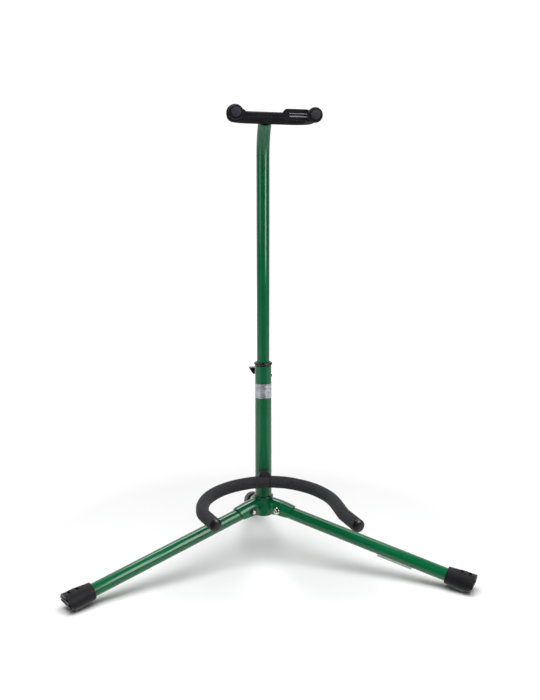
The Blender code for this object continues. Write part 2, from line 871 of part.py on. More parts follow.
slot_cutter = cutter(
    "cut_foam_slot",
    box_mesh(
        "cut_foam_slot",
        (-CRADLE_BLOCK_HALF - CLEARANCE, -CRADLE_BLOCK_FRONT - CLEARANCE, 100 * MM),
        (CRADLE_BLOCK_HALF + CLEARANCE, 0.0, 150 * MM),
    ),
    Matrix.Identity(4),
)


def foam(name, points, seam_low, seam_high):
    """A foam sleeve round the rod, ended at the seam by a flat cut between two X values."""
    skin = as_mesh(rod(name, points, FOAM_RADIUS, black_foam, None, 5, capped=False))
    thicken(skin, FOAM_RADIUS - FOAM_BORE)
    seam_name = "cut_seam_" + name
    seam = cutter(
        seam_name,
        box_mesh(seam_name, (seam_low, -34 * MM, 100 * MM), (seam_high, 0.0, 150 * MM)),
        Matrix.Identity(4),
    )
    cut(skin, seam)
    cut(skin, slot_cutter)
    return skin


# Each sleeve starts a little past the seam and is cut back to it
foam("cradle_foam_left", right_path[2:0:-1] + left_path, FOAM_SEAM - 0.15 * MM, 40 * MM)
foam("cradle_foam_right", right_path, -20 * MM, FOAM_SEAM + 0.15 * MM)
for side, points in (("left", left_path), ("right", right_path)):
    direction = Vector(points[-1]) - Vector(points[-2])
    cap_profile = [(0.0, 3.8 * MM)]
    for i in range(1, 6):
        angle = math.radians(90.0 - 18.0 * i)
        cap_profile.append((9.0 * MM * math.cos(angle), 0.8 * MM + 3.0 * MM * math.sin(angle)))
    cap_profile += [
        (8.7 * MM, 0.3 * MM),
        (FOAM_BORE, 0.3 * MM),
        (FOAM_BORE, 2.0 * MM),
        (0.0, 2.0 * MM),
    ]
    turned(
        "cradle_end_cap_" + side,
        cap_profile,
        black_plastic,
        along(direction, points[-1]),
        steps=28,
    )

# Neck fork: steel core, rubber cover, ball ends and the strap across its mouth
fork_half = [(None, ARM_SPACING - FORK_CORNER), (FORK_CORNER, 90.0)]
corner_forward = crossbar_forward + FORK_CORNER
fork_right = path_points((0.0, crossbar_forward), 0.0, fork_half, math.radians(11.25))
arm_rise = (ARM_HEIGHT - crossbar_height) / (BALL_END - corner_forward)


def fork_point(side, u, v):
    lift = arm_rise * max(0.0, v - corner_forward)
    return (side * u, -v, crossbar_height + lift)


def fork_path(end):
    right = [fork_point(1.0, u, v) for u, v in fork_right[1:]]
    left = [fork_point(-1.0, u, v) for u, v in fork_right[1:]]
    tail_right = [fork_point(1.0, ARM_SPACING, end)]
    tail_left = [fork_point(-1.0, ARM_SPACING, end)]
    return tail_left + left[::-1] + right + tail_right


# The fork sits a little to one side of the tube and leans a little, as it is mounted
fork_frame = (
    turn_mast
    @ Matrix.Translation((FORK_OFFSET, 0.0, crossbar_height))
    @ Matrix.Rotation(FORK_ROLL, 4, "Y")
    @ Matrix.Translation((0.0, 0.0, -crossbar_height))
)
rod("yoke_core", fork_path(BALL_END - 6.0 * MM), CORE_RADIUS, zinc_steel, fork_frame)
yoke_cover = as_mesh(
    rod("yoke_cover", fork_path(COVER_END), CROSSBAR_RADIUS, black_rubber, fork_frame, 5, capped=False)
)
thicken(yoke_cover, CROSSBAR_RADIUS - CORE_RADIUS - CLEARANCE)
neck_direction = Vector((0.0, -math.sin(BEND_ANGLE), math.cos(BEND_ANGLE)))
neck_cutter = cutter(
    "cut_neck_tube",
    cylinder_mesh("cut_neck_tube", UPPER_RADIUS + CLEARANCE, -30 * MM, tip + CLEARANCE, 40),
    turn_mast @ along(neck_direction, (0.0, -bend_forward, bend_height)),
)
cut(yoke_cover, neck_cutter)

for name, side in (("left", -1.0), ("right", 1.0)):
    start = Vector(fork_point(side, ARM_SPACING, BALL_START))
    length = BALL_END - BALL_START
    middle = length - BALL_RADIUS
    ball = [(0.0, length)]
    for i in range(1, 7):
        angle = math.radians(90.0 - 15.0 * i)
        ball.append((BALL_RADIUS * math.cos(angle), middle + BALL_RADIUS * math.sin(angle)))
    ball += [
        (BALL_RADIUS - 0.4 * MM, 1.6 * MM),
        (BALL_RADIUS - 1.6 * MM, 0.0),
        (CORE_RADIUS + CLEARANCE, 0.0),
        (CORE_RADIUS + CLEARANCE, length - 5.4 * MM),
        (0.0, length - 5.4 * MM),
    ]
    arm_direction = Vector((0.0, -1.0, arm_rise))
    turned(
        "yoke_end_" + name,
        ball,
        black_rubber,
        fork_frame @ along(arm_direction, start),
        steps=28,
    )


def strap_outline():
    """The strap seen from the front, X from the left arm's axis and Z from the arm's height."""
    far = 2.0 * ARM_SPACING
    notch = CORE_RADIUS + CLEARANCE
    lobe = 10.0 * MM
    points = []
    for i in range(25):
        angle = math.radians(33.0 + (312.0 - 33.0) * i / 24)
        points.append((EYE_RADIUS * math.cos(angle), EYE_RADIUS * math.sin(angle)))
    points += [
        (14.1 * MM, -4.0 * MM),
        (65.2 * MM, -3.2 * MM),
        (70.7 * MM, -6.9 * MM),
        (96.0 * MM, -7.1 * MM),
        (98.5 * MM, -8.2 * MM),
        (far - notch, -8.6 * MM),
    ]
    for i in range(11):
        angle = math.pi - math.pi * i / 10
        points.append((far + notch * math.cos(angle), notch * math.sin(angle)))
    points.append((far + notch, -8.6 * MM))
    for i in range(15):
        angle = math.radians(-55.0 + (137.0 + 55.0) * i / 14)
        points.append((far + lobe * math.cos(angle), lobe * math.sin(angle)))
    points += [
        (96.0 * MM, 6.8 * MM),
        (71.2 * MM, 6.6 * MM),
        (65.2 * MM, 1.35 * MM),
        (15.1 * MM, 0.6 * MM),
    ]
    return points


strap_at = Vector(fork_point(-1.0, ARM_SPACING, STRAP_MIDDLE))
strap_frame = fork_frame @ Matrix.Translation(strap_at)
strap = add(
    "safety_strap",
    prism_mesh(
        "safety_strap", strap_outline(), -STRAP_THICKNESS / 2, STRAP_THICKNESS / 2
    ),
    black_rubber,
    strap_frame,
)
eye_cutter = cutter(
    "cut_strap_eye",
    cylinder_mesh("cut_strap_eye", CORE_RADIUS + CLEARANCE, -10 * MM, 10 * MM, 28),
    strap_frame @ Y_AS_Z,
)
cut(strap, eye_cutter)
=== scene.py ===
# %% [markdown]
# # Folding guitar stand
#
# A dark green tubular stand on three hinged legs. Its mast telescopes in a collar with a wing
# clamp, a foam-covered cradle holds the guitar's body, and a rubber-covered fork with a strap
# across its mouth holds the neck.
#
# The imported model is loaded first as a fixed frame. Its solids give every position, and each
# piece made here rides on one of its bodies, so it moves with the right joint. Lengths are in
# metres, +Z is up and the front is -Y.

# %% Load the frame
import math

import bmesh
import bpy
from mathutils import Matrix, Vector, noise


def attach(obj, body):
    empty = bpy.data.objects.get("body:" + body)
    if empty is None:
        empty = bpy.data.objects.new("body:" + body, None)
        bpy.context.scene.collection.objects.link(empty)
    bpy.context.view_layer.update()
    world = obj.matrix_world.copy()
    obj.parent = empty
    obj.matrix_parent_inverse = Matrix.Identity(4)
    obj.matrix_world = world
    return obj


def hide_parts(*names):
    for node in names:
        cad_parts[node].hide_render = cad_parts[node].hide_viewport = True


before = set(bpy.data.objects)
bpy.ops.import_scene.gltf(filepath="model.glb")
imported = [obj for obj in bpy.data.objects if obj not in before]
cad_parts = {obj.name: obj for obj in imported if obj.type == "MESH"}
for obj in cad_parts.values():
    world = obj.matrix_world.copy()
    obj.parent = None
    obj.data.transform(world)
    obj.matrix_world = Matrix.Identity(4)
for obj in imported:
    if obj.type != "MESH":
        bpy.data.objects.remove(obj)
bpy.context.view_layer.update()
MM = 0.001

# %% [markdown]
# ## Camera
#
# The camera can be set by eye or worked out. Here it was worked out from the width of the tubes,
# the lines of the legs and the places where the feet stand, so it is given by numbers: 1.27 m in
# front of the mast, 0.56 m up, looking 10.7 degrees down.

# %% Camera
camera_data = bpy.data.cameras.new("camera")
camera_data.lens = 44.614
camera_data.sensor_width = 36.0
camera_data.clip_start = 0.05
camera = bpy.data.objects.new("camera", camera_data)
camera.location = (-0.1171, -1.2635, 0.5633)
camera.rotation_euler = (math.radians(79.27), 0.0, math.radians(-5.75))
bpy.context.scene.collection.objects.link(camera)
bpy.context.scene.camera = camera
bpy.context.scene.view_settings.view_transform = "Standard"
print("camera distance to the mast:", round(math.hypot(camera.location.x, camera.location.y), 3))

# %% [markdown]
# ## Colours and nodes
#
# Colours are easiest to pick as hex values, the way a screen shows them, but a shader works in
# linear light, so one function turns the first into the second. A material is a graph of nodes.
# One small function adds a node, sets its options and joins its inputs, so each graph below
# reads in order from its first pattern to its last socket.


# %% Colours and nodes
def linear(hex_colour):
    """A hex sRGB colour as linear red, green, blue and alpha."""
    channels = []
    for start in (1, 3, 5):
        shown = int(hex_colour[start : start + 2], 16) / 255.0
        channels.append(shown / 12.92 if shown <= 0.04045 else ((shown + 0.055) / 1.055) ** 2.4)
    return (*channels, 1.0)


def join(tree, node, inputs):
    """Joins the named inputs of a node to sockets, or gives them values."""
    for key, value in inputs.items():
        if isinstance(value, bpy.types.NodeSocket):
            tree.links.new(value, node.inputs[key])
        else:
            node.inputs[key].default_value = value


def add_node(tree, kind, settings=None, inputs=None):
    """A new node with its options set and its inputs joined."""
    made = tree.nodes.new(kind)
    for key, value in (settings or {}).items():
        setattr(made, key, value)
    join(tree, made, inputs or {})
    return made


def limits(low, high, out_low, out_high):
    """What a Map Range node is told: low to high becomes out_low to out_high."""
    return {"From Min": low, "From Max": high, "To Min": out_low, "To Max": out_high}


# %% [markdown]
# ## Floor
#
# The studio has a sheet of white paper that runs away behind the stand. A plane is enough for
# it. The paper takes the stand's soft shadows, so near the stand its brightness comes only from
# the lamps. Further out the camera sees it glow a little, so that it runs out into plain white
# with no horizon. Only the camera sees the glow, so it puts no extra light on the stand.

# %% Floor
FLOOR_REACH = 12.0
GLOW_STARTS = 0.35
GLOW_FULL = 1.3
corners = [(-1.0, -1.0), (1.0, -1.0), (1.0, 1.0), (-1.0, 1.0)]
floor_corners = [(x * FLOOR_REACH, y * FLOOR_REACH, 0.0) for x, y in corners]
floor_mesh = bpy.data.meshes.new("studio_floor")
floor_mesh.from_pydata(floor_corners, [], [(0, 1, 2, 3)])
floor = bpy.data.objects.new("studio_floor", floor_mesh)
bpy.context.scene.collection.objects.link(floor)

floor_paper = bpy.data.materials.new("studio_paper")
floor_paper.use_nodes = True
tree = floor_paper.node_tree
place = add_node(tree, "ShaderNodeTexCoord").outputs["Object"]
from_middle = add_node(tree, "ShaderNodeVectorMath", {"operation": "LENGTH"}, {0: place})
spread = {"Value": from_middle.outputs["Value"], **limits(GLOW_STARTS, GLOW_FULL, 0.0, 1.0)}
far_out = add_node(tree, "ShaderNodeMapRange", None, spread).outputs[0]
to_camera = add_node(tree, "ShaderNodeLightPath").outputs["Is Camera Ray"]
glow = add_node(tree, "ShaderNodeMath", {"operation": "MULTIPLY"}, {0: far_out, 1: to_camera})
join(
    tree,
    tree.nodes["Principled BSDF"],
    {
        "Base Color": linear("#F9F9F9"),
        "Roughness": 0.9,
        "Specular IOR Level": 0.1,
        "Emission Color": linear("#FFFFFF"),
        "Emission Strength": glow.outputs[0],
    },
)
floor_mesh.materials.append(floor_paper)
print("floor reach:", FLOOR_REACH)

# %% [markdown]
# ## The room
#
# What a glossy tube shows is the room round it, so the room is drawn for reflections as well as
# for the camera. The camera sees white. A reflection sees the white paper low down, out to the
# sides and straight below, and the white backdrop behind, but a dark room in front, where the
# camera stood. That keeps a clean dark middle down each tube. Everything else gets a faint even
# fill, so that shadows on the paper don't turn black.

# %% Room
floor.visible_glossy = False
world = bpy.data.worlds.new("studio")
world.use_nodes = True
bpy.context.scene.world = world
room = world.node_tree
room.nodes.clear()
SOFTLY = {"interpolation_type": "SMOOTHSTEP"}
towards = add_node(room, "ShaderNodeTexCoord").outputs["Generated"]
axes = add_node(room, "ShaderNodeSeparateXYZ", None, {0: towards}).outputs
fades = []
for axis, span in (
    ("Z", (-0.25, -0.05, 1.0, 0.0)),
    ("Y", (-0.92, -0.45, 0.12, 1.0)),
    ("Z", (-0.82, -0.58, 0.9, 0.0)),
    ("Y", (0.08, 0.72, 0.02, 1.1)),
):
    fade = add_node(room, "ShaderNodeMapRange", SOFTLY, {"Value": axes[axis], **limits(*span)})
    fades.append(fade.outputs[0])
low_down, to_the_side, below, backdrop = fades
paper_seen = low_down
for operation, other in (("MULTIPLY", to_the_side), ("MAXIMUM", below), ("MAXIMUM", backdrop)):
    step = add_node(room, "ShaderNodeMath", {"operation": operation}, {0: paper_seen, 1: other})
    paper_seen = step.outputs[0]

# %% What each kind of ray sees
WHITE_SEEN = 1.05
FILL = 0.04
shades = []
for strength in (WHITE_SEEN, FILL, paper_seen):
    glowing = {"Color": linear("#FFFFFF"), "Strength": strength}
    shades.append(add_node(room, "ShaderNodeBackground", None, glowing).outputs[0])
rays = add_node(room, "ShaderNodeLightPath").outputs
by_gloss = {0: rays["Is Glossy Ray"], 1: shades[1], 2: shades[2]}
reflected = add_node(room, "ShaderNodeMixShader", None, by_gloss).outputs[0]
by_camera = {0: rays["Is Camera Ray"], 1: reflected, 2: shades[0]}
seen = add_node(room, "ShaderNodeMixShader", None, by_camera).outputs[0]
add_node(room, "ShaderNodeOutputWorld", None, {"Surface": seen})
print("world nodes:", len(room.nodes))

# %% [markdown]
# ## Soft boxes
#
# One large soft box overhead lights the stand and draws the soft shadows. The bands along the
# tubes are reflections of four more boxes: a strip behind and above, a fainter one beside it, a
# tall box at the right whose lower edge is 0.30 m up, and another at the left. A soft box is an
# area light. Its brightness is given as it would look in a mirror, where white paper is about 1,
# and turned into watts from its size. The overhead box lights surfaces but isn't mirrored, and
# the other four are only mirrored, so bands and shadows can be set apart from each other.


# %% Soft boxes
def soft_box(name, direction, distance, aim, size, brightness, diffuse, glossy):
    """An area light of a size, seen from aim in a direction at a distance."""
    width, height = size
    light = bpy.data.lights.new(name, "AREA")
    light.shape = "RECTANGLE"
    light.size = width
    light.size_y = height
    light.energy = brightness * math.pi * width * height
    lamp = bpy.data.objects.new(name, light)
    lamp.location = Vector(aim) + Vector(direction).normalized() * distance
    lamp.rotation_euler = (Vector(aim) - lamp.location).to_track_quat("-Z", "Y").to_euler()
    lamp.visible_diffuse = diffuse
    lamp.visible_glossy = glossy
    bpy.context.scene.collection.objects.link(lamp)
    print("soft box", name, "at height", round(lamp.location.z, 2))


FLOOR_MIDDLE = (0.0, 0.0, 0.0)
HUB = (-0.02, -0.08, 0.06)
MAST_MIDDLE = (0.0, 0.0, 0.66)
soft_box("overhead_box", (0.0, -0.31, 0.95), 2.6, FLOOR_MIDDLE, (2.6, 2.6), 4.75, True, False)
soft_box("rear_strip", (-0.08, 0.45, 0.89), 1.4, HUB, (0.56, 0.40), 7.4, False, True)
soft_box("rear_box", (0.18, 0.30, 0.94), 1.4, HUB, (0.50, 0.50), 3.2, False, True)
soft_box("right_box", (0.68, -0.75, 0.20), 1.36, MAST_MIDDLE, (0.60, 1.26), 6.6, False, True)
soft_box("left_box", (-0.86, -0.51, 0.20), 1.4, MAST_MIDDLE, (0.36, 1.10), 3.8, False, True)

# %% [markdown]
# ## Patterns
#
# Nothing real is one flat colour. Two patterns do most of the work: a number or a colour that
# wanders between two values in soft patches. The patch size is a length on the real surface, and
# a noise texture's scale is one over that length. Each piece uses its own coordinates, so the
# pattern moves with it.


# %% Patterns
def wander(tree, place, size, low, high, detail=3.0):
    """A number that wanders between low and high in patches about size wide."""
    grain = {"Vector": place, "Scale": 1.0 / size, "Detail": detail}
    cloud = add_node(tree, "ShaderNodeTexNoise", None, grain)
    spread = {"Value": cloud.outputs["Fac"], **limits(0.3, 0.75, low, high)}
    return add_node(tree, "ShaderNodeMapRange", None, spread).outputs[0]


def patches(tree, place, size, first, second, detail=4.0):
    """A colour that wanders between two hex colours in patches about size wide."""
    share = wander(tree, place, size, 0.0, 1.0, detail)
    colours = {0: share, 6: linear(first), 7: linear(second)}
    return add_node(tree, "ShaderNodeMix", {"data_type": "RGBA"}, colours).outputs[2]


def new_finish(name):
    """A material with its node tree, its shader and the piece's own coordinates."""
    material = bpy.data.materials.new(name)
    material.use_nodes = True
    tree = material.node_tree
    place = add_node(tree, "ShaderNodeTexCoord").outputs["Object"]
    return material, tree, tree.nodes["Principled BSDF"], place


def stretched(tree, place, along):
    """Coordinates in which patterns are drawn out by different amounts along each axis."""
    return add_node(tree, "ShaderNodeMapping", None, {"Vector": place, "Scale": along}).outputs[0]


# %% [markdown]
# ## Stove enamel
#
# The tubes are welded steel, sprayed and baked: a dark green enamel with a hard gloss. Enamel is
# a dielectric with an IOR near 1.5 and little roughness, so the green is dark in the middle of a
# tube and only the soft boxes draw pale lines on it. Sprayed paint dries with orange peel, waves
# about 2.5 mm apart, which softens those lines. Handling leaves slightly duller patches some
# 15 mm wide. On the mast's bend the paint is duller, and its colour is paler in streaks: a painted
# reflection.


# %% Stove enamel
def stove_enamel(name, bend=None):
    """Green gloss enamel. bend is (low, high): there it is duller, and paler as a painted reflection.
    """
    material, tree, surface, place = new_finish(name)
    colour = patches(tree, place, 36.0 * MM, "#045C35", "#06653D")
    roughness = wander(tree, place, 15.0 * MM, 0.10, 0.16, 4.0)
    if bend:
        height = add_node(tree, "ShaderNodeSeparateXYZ", None, {0: place}).outputs["Z"]
        span = {"Value": height, **limits(bend[0], bend[1], 0.0, 1.0)}
        share = add_node(tree, "ShaderNodeMapRange", SOFTLY, span).outputs[0]
        streaks = stretched(tree, place, (1.0, 1.0, 0.1))
        # The bend's paler streaks are a painted reflection; its extra roughness below is real.
        painted_bend_reflection = patches(tree, streaks, 4.0 * MM, "#125C3A", "#226B48")
        blend = {0: share, 6: colour, 7: painted_bend_reflection}
        colour = add_node(tree, "ShaderNodeMix", {"data_type": "RGBA"}, blend).outputs[2]
        dulled = {"Value": share, **limits(0.0, 1.0, 0.0, 0.28)}
        extra = add_node(tree, "ShaderNodeMapRange", None, dulled).outputs[0]
        both = {0: roughness, 1: extra}
        roughness = add_node(tree, "ShaderNodeMath", {"operation": "ADD"}, both).outputs[0]
    peel = wander(tree, place, 2.5 * MM, 0.0, 1.0, 2.0)
    waves = {"Height": peel, "Strength": 0.035, "Distance": 0.6 * MM}
    normal = add_node(tree, "ShaderNodeBump", None, waves).outputs[0]
    look = {"Base Color": colour, "Roughness": roughness, "Normal": normal, "IOR": 1.5}
    join(tree, surface, look)
    return material


# Heights where the mast's bend is duller and painted paler as a reflection
DULL_AND_REFLECTION_HEIGHTS = (0.576, 0.640)
enamel = stove_enamel("stove_enamel")
mast_enamel = stove_enamel("stove_enamel_mast", DULL_AND_REFLECTION_HEIGHTS)
print("enamel:", enamel.name, mast_enamel.name)

# %% [markdown]
# ## Moulded rubber and plastic
#
# The feet, the fork's cover, its strap and ball ends are black rubber, moulded in steel moulds
# that were spark eroded, which gives an even fine grain. The collar, the caps and the wing head
# are moulded ABS with a smoother skin. All of them are dielectrics with an IOR of 1.5, rubber
# with a roughness near 0.5 and ABS near 0.3. The real grain is about 0.2 mm, too fine to show
# here, so it is drawn about 1 mm wide. One function makes them all, because they differ only in
# shade, dullness and grain.


# %% Moulded rubber and plastic
def moulded(name, dark, light, roughness, grain, depth, shine=0.5):
    """A moulded finish: two shades, a varying roughness, the grain's width and depth, the shine."""
    material, tree, surface, place = new_finish(name)
    colour = patches(tree, place, 17.0 * MM, dark, light)
    dullness = wander(tree, place, 7.0 * MM, roughness - 0.06, roughness + 0.06, 4.0)
    bumps = {"Height": wander(tree, place, grain, 0.0, 1.0), "Strength": 0.3, "Distance": depth}
    normal = add_node(tree, "ShaderNodeBump", None, bumps).outputs[0]
    look = {"Base Color": colour, "Roughness": dullness, "Normal": normal, "IOR": 1.5}
    join(tree, surface, {**look, "Specular IOR Level": shine})
    return material


foot_rubber = moulded("foot_rubber", "#100F12", "#1A181C", 0.55, 1.1 * MM, 0.10 * MM, 0.25)
# Paler rubber for the feet's rib ends: partly scuffing, partly a painted highlight.
scuff_and_highlight_rubber = moulded("scuff_and_highlight_rubber", "#4C4D50", "#75767A", 0.65, 0.9 * MM, 0.20 * MM, 0.3)
fork_rubber = moulded("fork_rubber", "#121214", "#1B1B1E", 0.78, 1.2 * MM, 0.03 * MM, 0.15)
strap_rubber = moulded("strap_rubber", "#121215", "#1A1A1D", 0.78, 1.2 * MM, 0.03 * MM, 0.15)
# Pale rubber for the strap's ribs: a painted highlight.
rib_highlight_rubber = moulded("rib_highlight_rubber", "#6E6D73", "#8A898F", 0.80, 1.2 * MM, 0.02 * MM, 0.1)
ball_face_rubber = moulded("ball_face_rubber", "#2B2932", "#35323D", 0.70, 1.0 * MM, 0.06 * MM, 0.2)
block_rubber = moulded("block_rubber", "#1C1B1F", "#29272D", 0.55, 1.2 * MM, 0.14 * MM, 0.3)
black_abs = moulded("black_abs", "#111113", "#1C1C1F", 0.28, 0.9 * MM, 0.04 * MM)
white_nylon = moulded("white_nylon", "#D4D4CE", "#E2E2DC", 0.45, 1.0 * MM, 0.20 * MM)
print("materials so far:", len(bpy.data.materials))

# %% [markdown]
# ## Foam
#
# The cradle wears two sleeves of closed-cell foam rubber. Its skin is nearly matt, with cells
# about 0.5 mm across, drawn 0.9 mm wide so that they show, and shallow lumps 4 mm wide. Cell
# edges catch a few pale specks. A little sheen stands for the fuzz that handling raises.


# %% Foam
CELL = 0.9 * MM


def closed_cell_foam(name):
    """Black foam with pits, lumps and pale specks."""
    material, tree, surface, place = new_finish(name)
    shade = patches(tree, place, 3.0 * MM, "#1D1D1F", "#2E2E31", 5.0)
    speck_size = {"Vector": place, "Scale": 1.0 / (0.7 * MM), "Detail": 1.0}
    specks = add_node(tree, "ShaderNodeTexNoise", None, speck_size)
    few = {"Value": specks.outputs["Fac"], **limits(0.66, 0.76, 0.0, 0.4)}
    share = add_node(tree, "ShaderNodeMapRange", None, few).outputs[0]
    speckled = {0: share, 6: shade, 7: linear("#4A4A4E")}
    colour = add_node(tree, "ShaderNodeMix", {"data_type": "RGBA"}, speckled).outputs[2]
    swell = wander(tree, place, 4.0 * MM, 0.0, 1.0, 4.0)
    lumps = {"Height": swell, "Strength": 0.3, "Distance": 0.8 * MM}
    lumpy = add_node(tree, "ShaderNodeBump", None, lumps).outputs[0]
    cells = add_node(tree, "ShaderNodeTexVoronoi", None, {"Vector": place, "Scale": 1.0 / CELL})
    depth = cells.outputs["Distance"]
    pits = {"Height": depth, "Strength": 0.45, "Distance": 0.3 * MM, "Normal": lumpy}
    normal = add_node(tree, "ShaderNodeBump", None, pits).outputs[0]
    look = {"Base Color": colour, "Roughness": 0.88, "Normal": normal, "Specular IOR Level": 0.3}
    join(tree, surface, {**look, "Sheen Weight": 0.06, "Sheen Roughness": 0.4})
    return material


foam = closed_cell_foam("closed_cell_foam")
print("foam cells drawn at", CELL / MM, "mm")

# %% [markdown]
# ## Zinc plating
#
# The bolts, rivet and clamp stud are turned or rolled steel with bright zinc plating: fully
# metallic, fairly smooth, with a faint grain from the lathe, drawn 0.6 mm wide so that it shows.
# Plating varies a little in tone. The leg nuts are given a darker, duller olive zinc.


# %% Zinc
def plated_zinc(name, dark, light, smooth, dull):
    """Plated steel with faint turning marks. Its roughness runs from smooth to dull."""
    material, tree, surface, place = new_finish(name)
    colour = patches(tree, place, 4.5 * MM, dark, light)
    roughness = wander(tree, place, 2.2 * MM, smooth, dull)
    turned = wander(tree, place, 0.6 * MM, 0.0, 1.0, 2.0)
    marks = {"Height": turned, "Strength": 0.04, "Distance": 0.15 * MM}
    normal = add_node(tree, "ShaderNodeBump", None, marks).outputs[0]
    look = {"Base Color": colour, "Metallic": 1.0, "Roughness": roughness, "Normal": normal}
    join(tree, surface, look)
    return material


zinc = plated_zinc("bright_zinc", "#B4B3AE", "#DAD9D4", 0.12, 0.20)
dull_zinc = plated_zinc("dull_zinc", "#47483C", "#626355", 0.20, 0.28)
print("zinc:", zinc.name, dull_zinc.name)

# %% [markdown]
# ## Labels
#
# Two bare labels: a band of metallised film round the mast, silver with a lilac cast, only partly
# metallic, so that its cloudy tone is partly a painted reflection, and wrinkled in lines round the
# tube about 4 mm apart, drawn paler, and a strip of grey-green paper under the right leg, whose
# fibres are drawn 0.8 mm wide.


# %% Label film and paper
def metallised_film(name):
    """Silver film, partly matt, its cloudy tone partly a painted reflection, wrinkles drawn paler."""
    material, tree, surface, place = new_finish(name)
    cloud_place = stretched(tree, place, (1.0, 1.0, 1.6))
    # The cloudy grey tone on a partly metallic film is partly a painted reflection.
    clouds = patches(tree, cloud_place, 6.0 * MM, "#878D94", "#C3C5CB", 5.0)
    wrinkle_place = stretched(tree, place, (0.4, 0.4, 1.8))
    wrinkles = wander(tree, wrinkle_place, 4.0 * MM, 0.0, 1.0, 4.0)
    bands = {0: wrinkles, 6: clouds, 7: linear("#D6D7DC")}
    colour = add_node(tree, "ShaderNodeMix", {"data_type": "RGBA"}, bands).outputs[2]
    dulled = {"Value": wrinkles, **limits(0.0, 1.0, 0.24, 0.42)}
    roughness = add_node(tree, "ShaderNodeMapRange", None, dulled).outputs[0]
    creases = {"Height": wrinkles, "Strength": 0.35, "Distance": 0.6 * MM}
    normal = add_node(tree, "ShaderNodeBump", None, creases).outputs[0]
    look = {"Base Color": colour, "Metallic": 0.65, "Roughness": roughness, "Normal": normal}
    join(tree, surface, look)
    return material


def label_paper(name):
    """Grey-green paper with short fibres."""
    material, tree, surface, place = new_finish(name)
    colour = patches(tree, place, 11.0 * MM, "#A6ADA7", "#C2C6C1", 5.0)
    fibres = wander(tree, stretched(tree, place, (0.3, 1.0, 1.0)), 0.8 * MM, 0.0, 1.0)
    raised = {"Height": fibres, "Strength": 0.2, "Distance": 0.2 * MM}
    normal = add_node(tree, "ShaderNodeBump", None, raised).outputs[0]
    join(tree, surface, {"Base Color": colour, "Roughness": 0.6, "Normal": normal})
    return material


film = metallised_film("metallised_film")
paper = label_paper("label_paper")
print("labels:", film.name, paper.name)

# %% [markdown]
# ## Sweeping a skin
#
# Nearly every part of this stand is round in section and follows a line, straight or bent. A
# cylinder primitive could stand for a tube, but it has no rim, no wall and no bore. So one
# function sweeps a closed skin along a path through stations, each a distance along the path and
# a radius. First the path gets its tangents and side directions, carried along without twist.
# Whatever is drawn point by point is then finished in one way, with its faces turned outward.


# %% Path directions
def track(points):
    """Places, tangents and side directions along a path, with no twist."""
    points = [Vector(p) for p in points]
    tangents = []
    for i in range(len(points)):
        before = points[max(i - 1, 0)]
        after = points[min(i + 1, len(points) - 1)]
        tangents.append((after - before).normalized())
    side = tangents[0].orthogonal().normalized()
    sides = [side]
    for before, after in zip(tangents, tangents[1:]):
        side = before.rotation_difference(after) @ sides[-1]
        sides.append((side - after * side.dot(after)).normalized())
    lengths = [0.0]
    for first, second in zip(points, points[1:]):
        lengths.append(lengths[-1] + (second - first).length)
    return points, tangents, sides, lengths


def at_length(line, along):
    """The place, tangent and side at a distance along the path, carried on straight past its ends."""
    points, tangents, sides, lengths = line
    if along <= 0.0:
        return points[0] + tangents[0] * along, tangents[0], sides[0]
    if along >= lengths[-1]:
        return points[-1] + tangents[-1] * (along - lengths[-1]), tangents[-1], sides[-1]
    low = 0
    high = len(lengths) - 1
    while high - low > 1:
        middle = (low + high) // 2
        if lengths[middle] <= along:
            low = middle
        else:
            high = middle
    share = (along - lengths[low]) / (lengths[high] - lengths[low])
    tangent = tangents[low].lerp(tangents[high], share).normalized()
    side = sides[low].lerp(sides[high], share)
    side = (side - tangent * side.dot(tangent)).normalized()
    return points[low].lerp(points[high], share), tangent, side


# %% Finished meshes
def finished_mesh(name, made):
    """The points and faces drawn so far as a mesh, with every face turned outward."""
    bmesh.ops.recalc_face_normals(made, faces=made.faces)
    mesh = bpy.data.meshes.new(name)
    made.to_mesh(mesh)
    made.free()
    return mesh


# %% Sweep
UPRIGHT = [(0.0, 0.0, 0.0), (0.0, 0.0, 0.01)]


def sweep_mesh(name, path, stations, steps=48, ring=False, shape=None):
    """A skin through stations (along, radius). shape(along, angle, radius) may change a radius."""
    line = track(path)
    made = bmesh.new()
    rows = []
    for along, radius in stations:
        place, tangent, side = at_length(line, along)
        up = tangent.cross(side)
        if radius < 1e-6:
            rows.append([made.verts.new(place)])
            continue
        row = []
        for i in range(steps):
            angle = math.tau * i / steps
            reach = shape(along, angle, radius) if shape else radius
            spot = place + side * math.cos(angle) * reach + up * math.sin(angle) * reach
            row.append(made.verts.new(spot))
        rows.append(row)
    pairs = list(zip(rows, rows[1:]))
    if ring:
        pairs.append((rows[-1], rows[0]))
    for near, far in pairs:
        for i in range(steps):
            after = (i + 1) % steps
            if len(near) == 1 and len(far) == 1:
                continue
            if len(near) == 1:
                made.faces.new((near[0], far[after], far[i]))
            elif len(far) == 1:
                made.faces.new((near[i], near[after], far[0]))
            else:
                made.faces.new((near[i], near[after], far[after], far[i]))
    return finished_mesh(name, made)


# %% [markdown]
# ## Rounded corners
#
# No real edge is sharp. A pressed rim or a moulded corner has a small radius that catches a line
# of light, so each corner of a profile is replaced by a short curve before it is swept. A bead
# or a dome is drawn as points along an arc.


# %% Arcs
def arc_points(centre, radius, start, end, count):
    """Points on a circle about a centre, from one angle to another, given in degrees."""
    points = []
    for i in range(count + 1):
        angle = math.radians(start + (end - start) * i / count)
        points.append((centre[0] + radius * math.cos(angle), centre[1] + radius * math.sin(angle)))
    return points


# %% Rounded profiles
CORNER_STEPS = 3
SLIGHT_TURN = math.radians(14.0)
# A rounding takes at most this share of the lines beside it
LARGEST_SHARE = 0.42


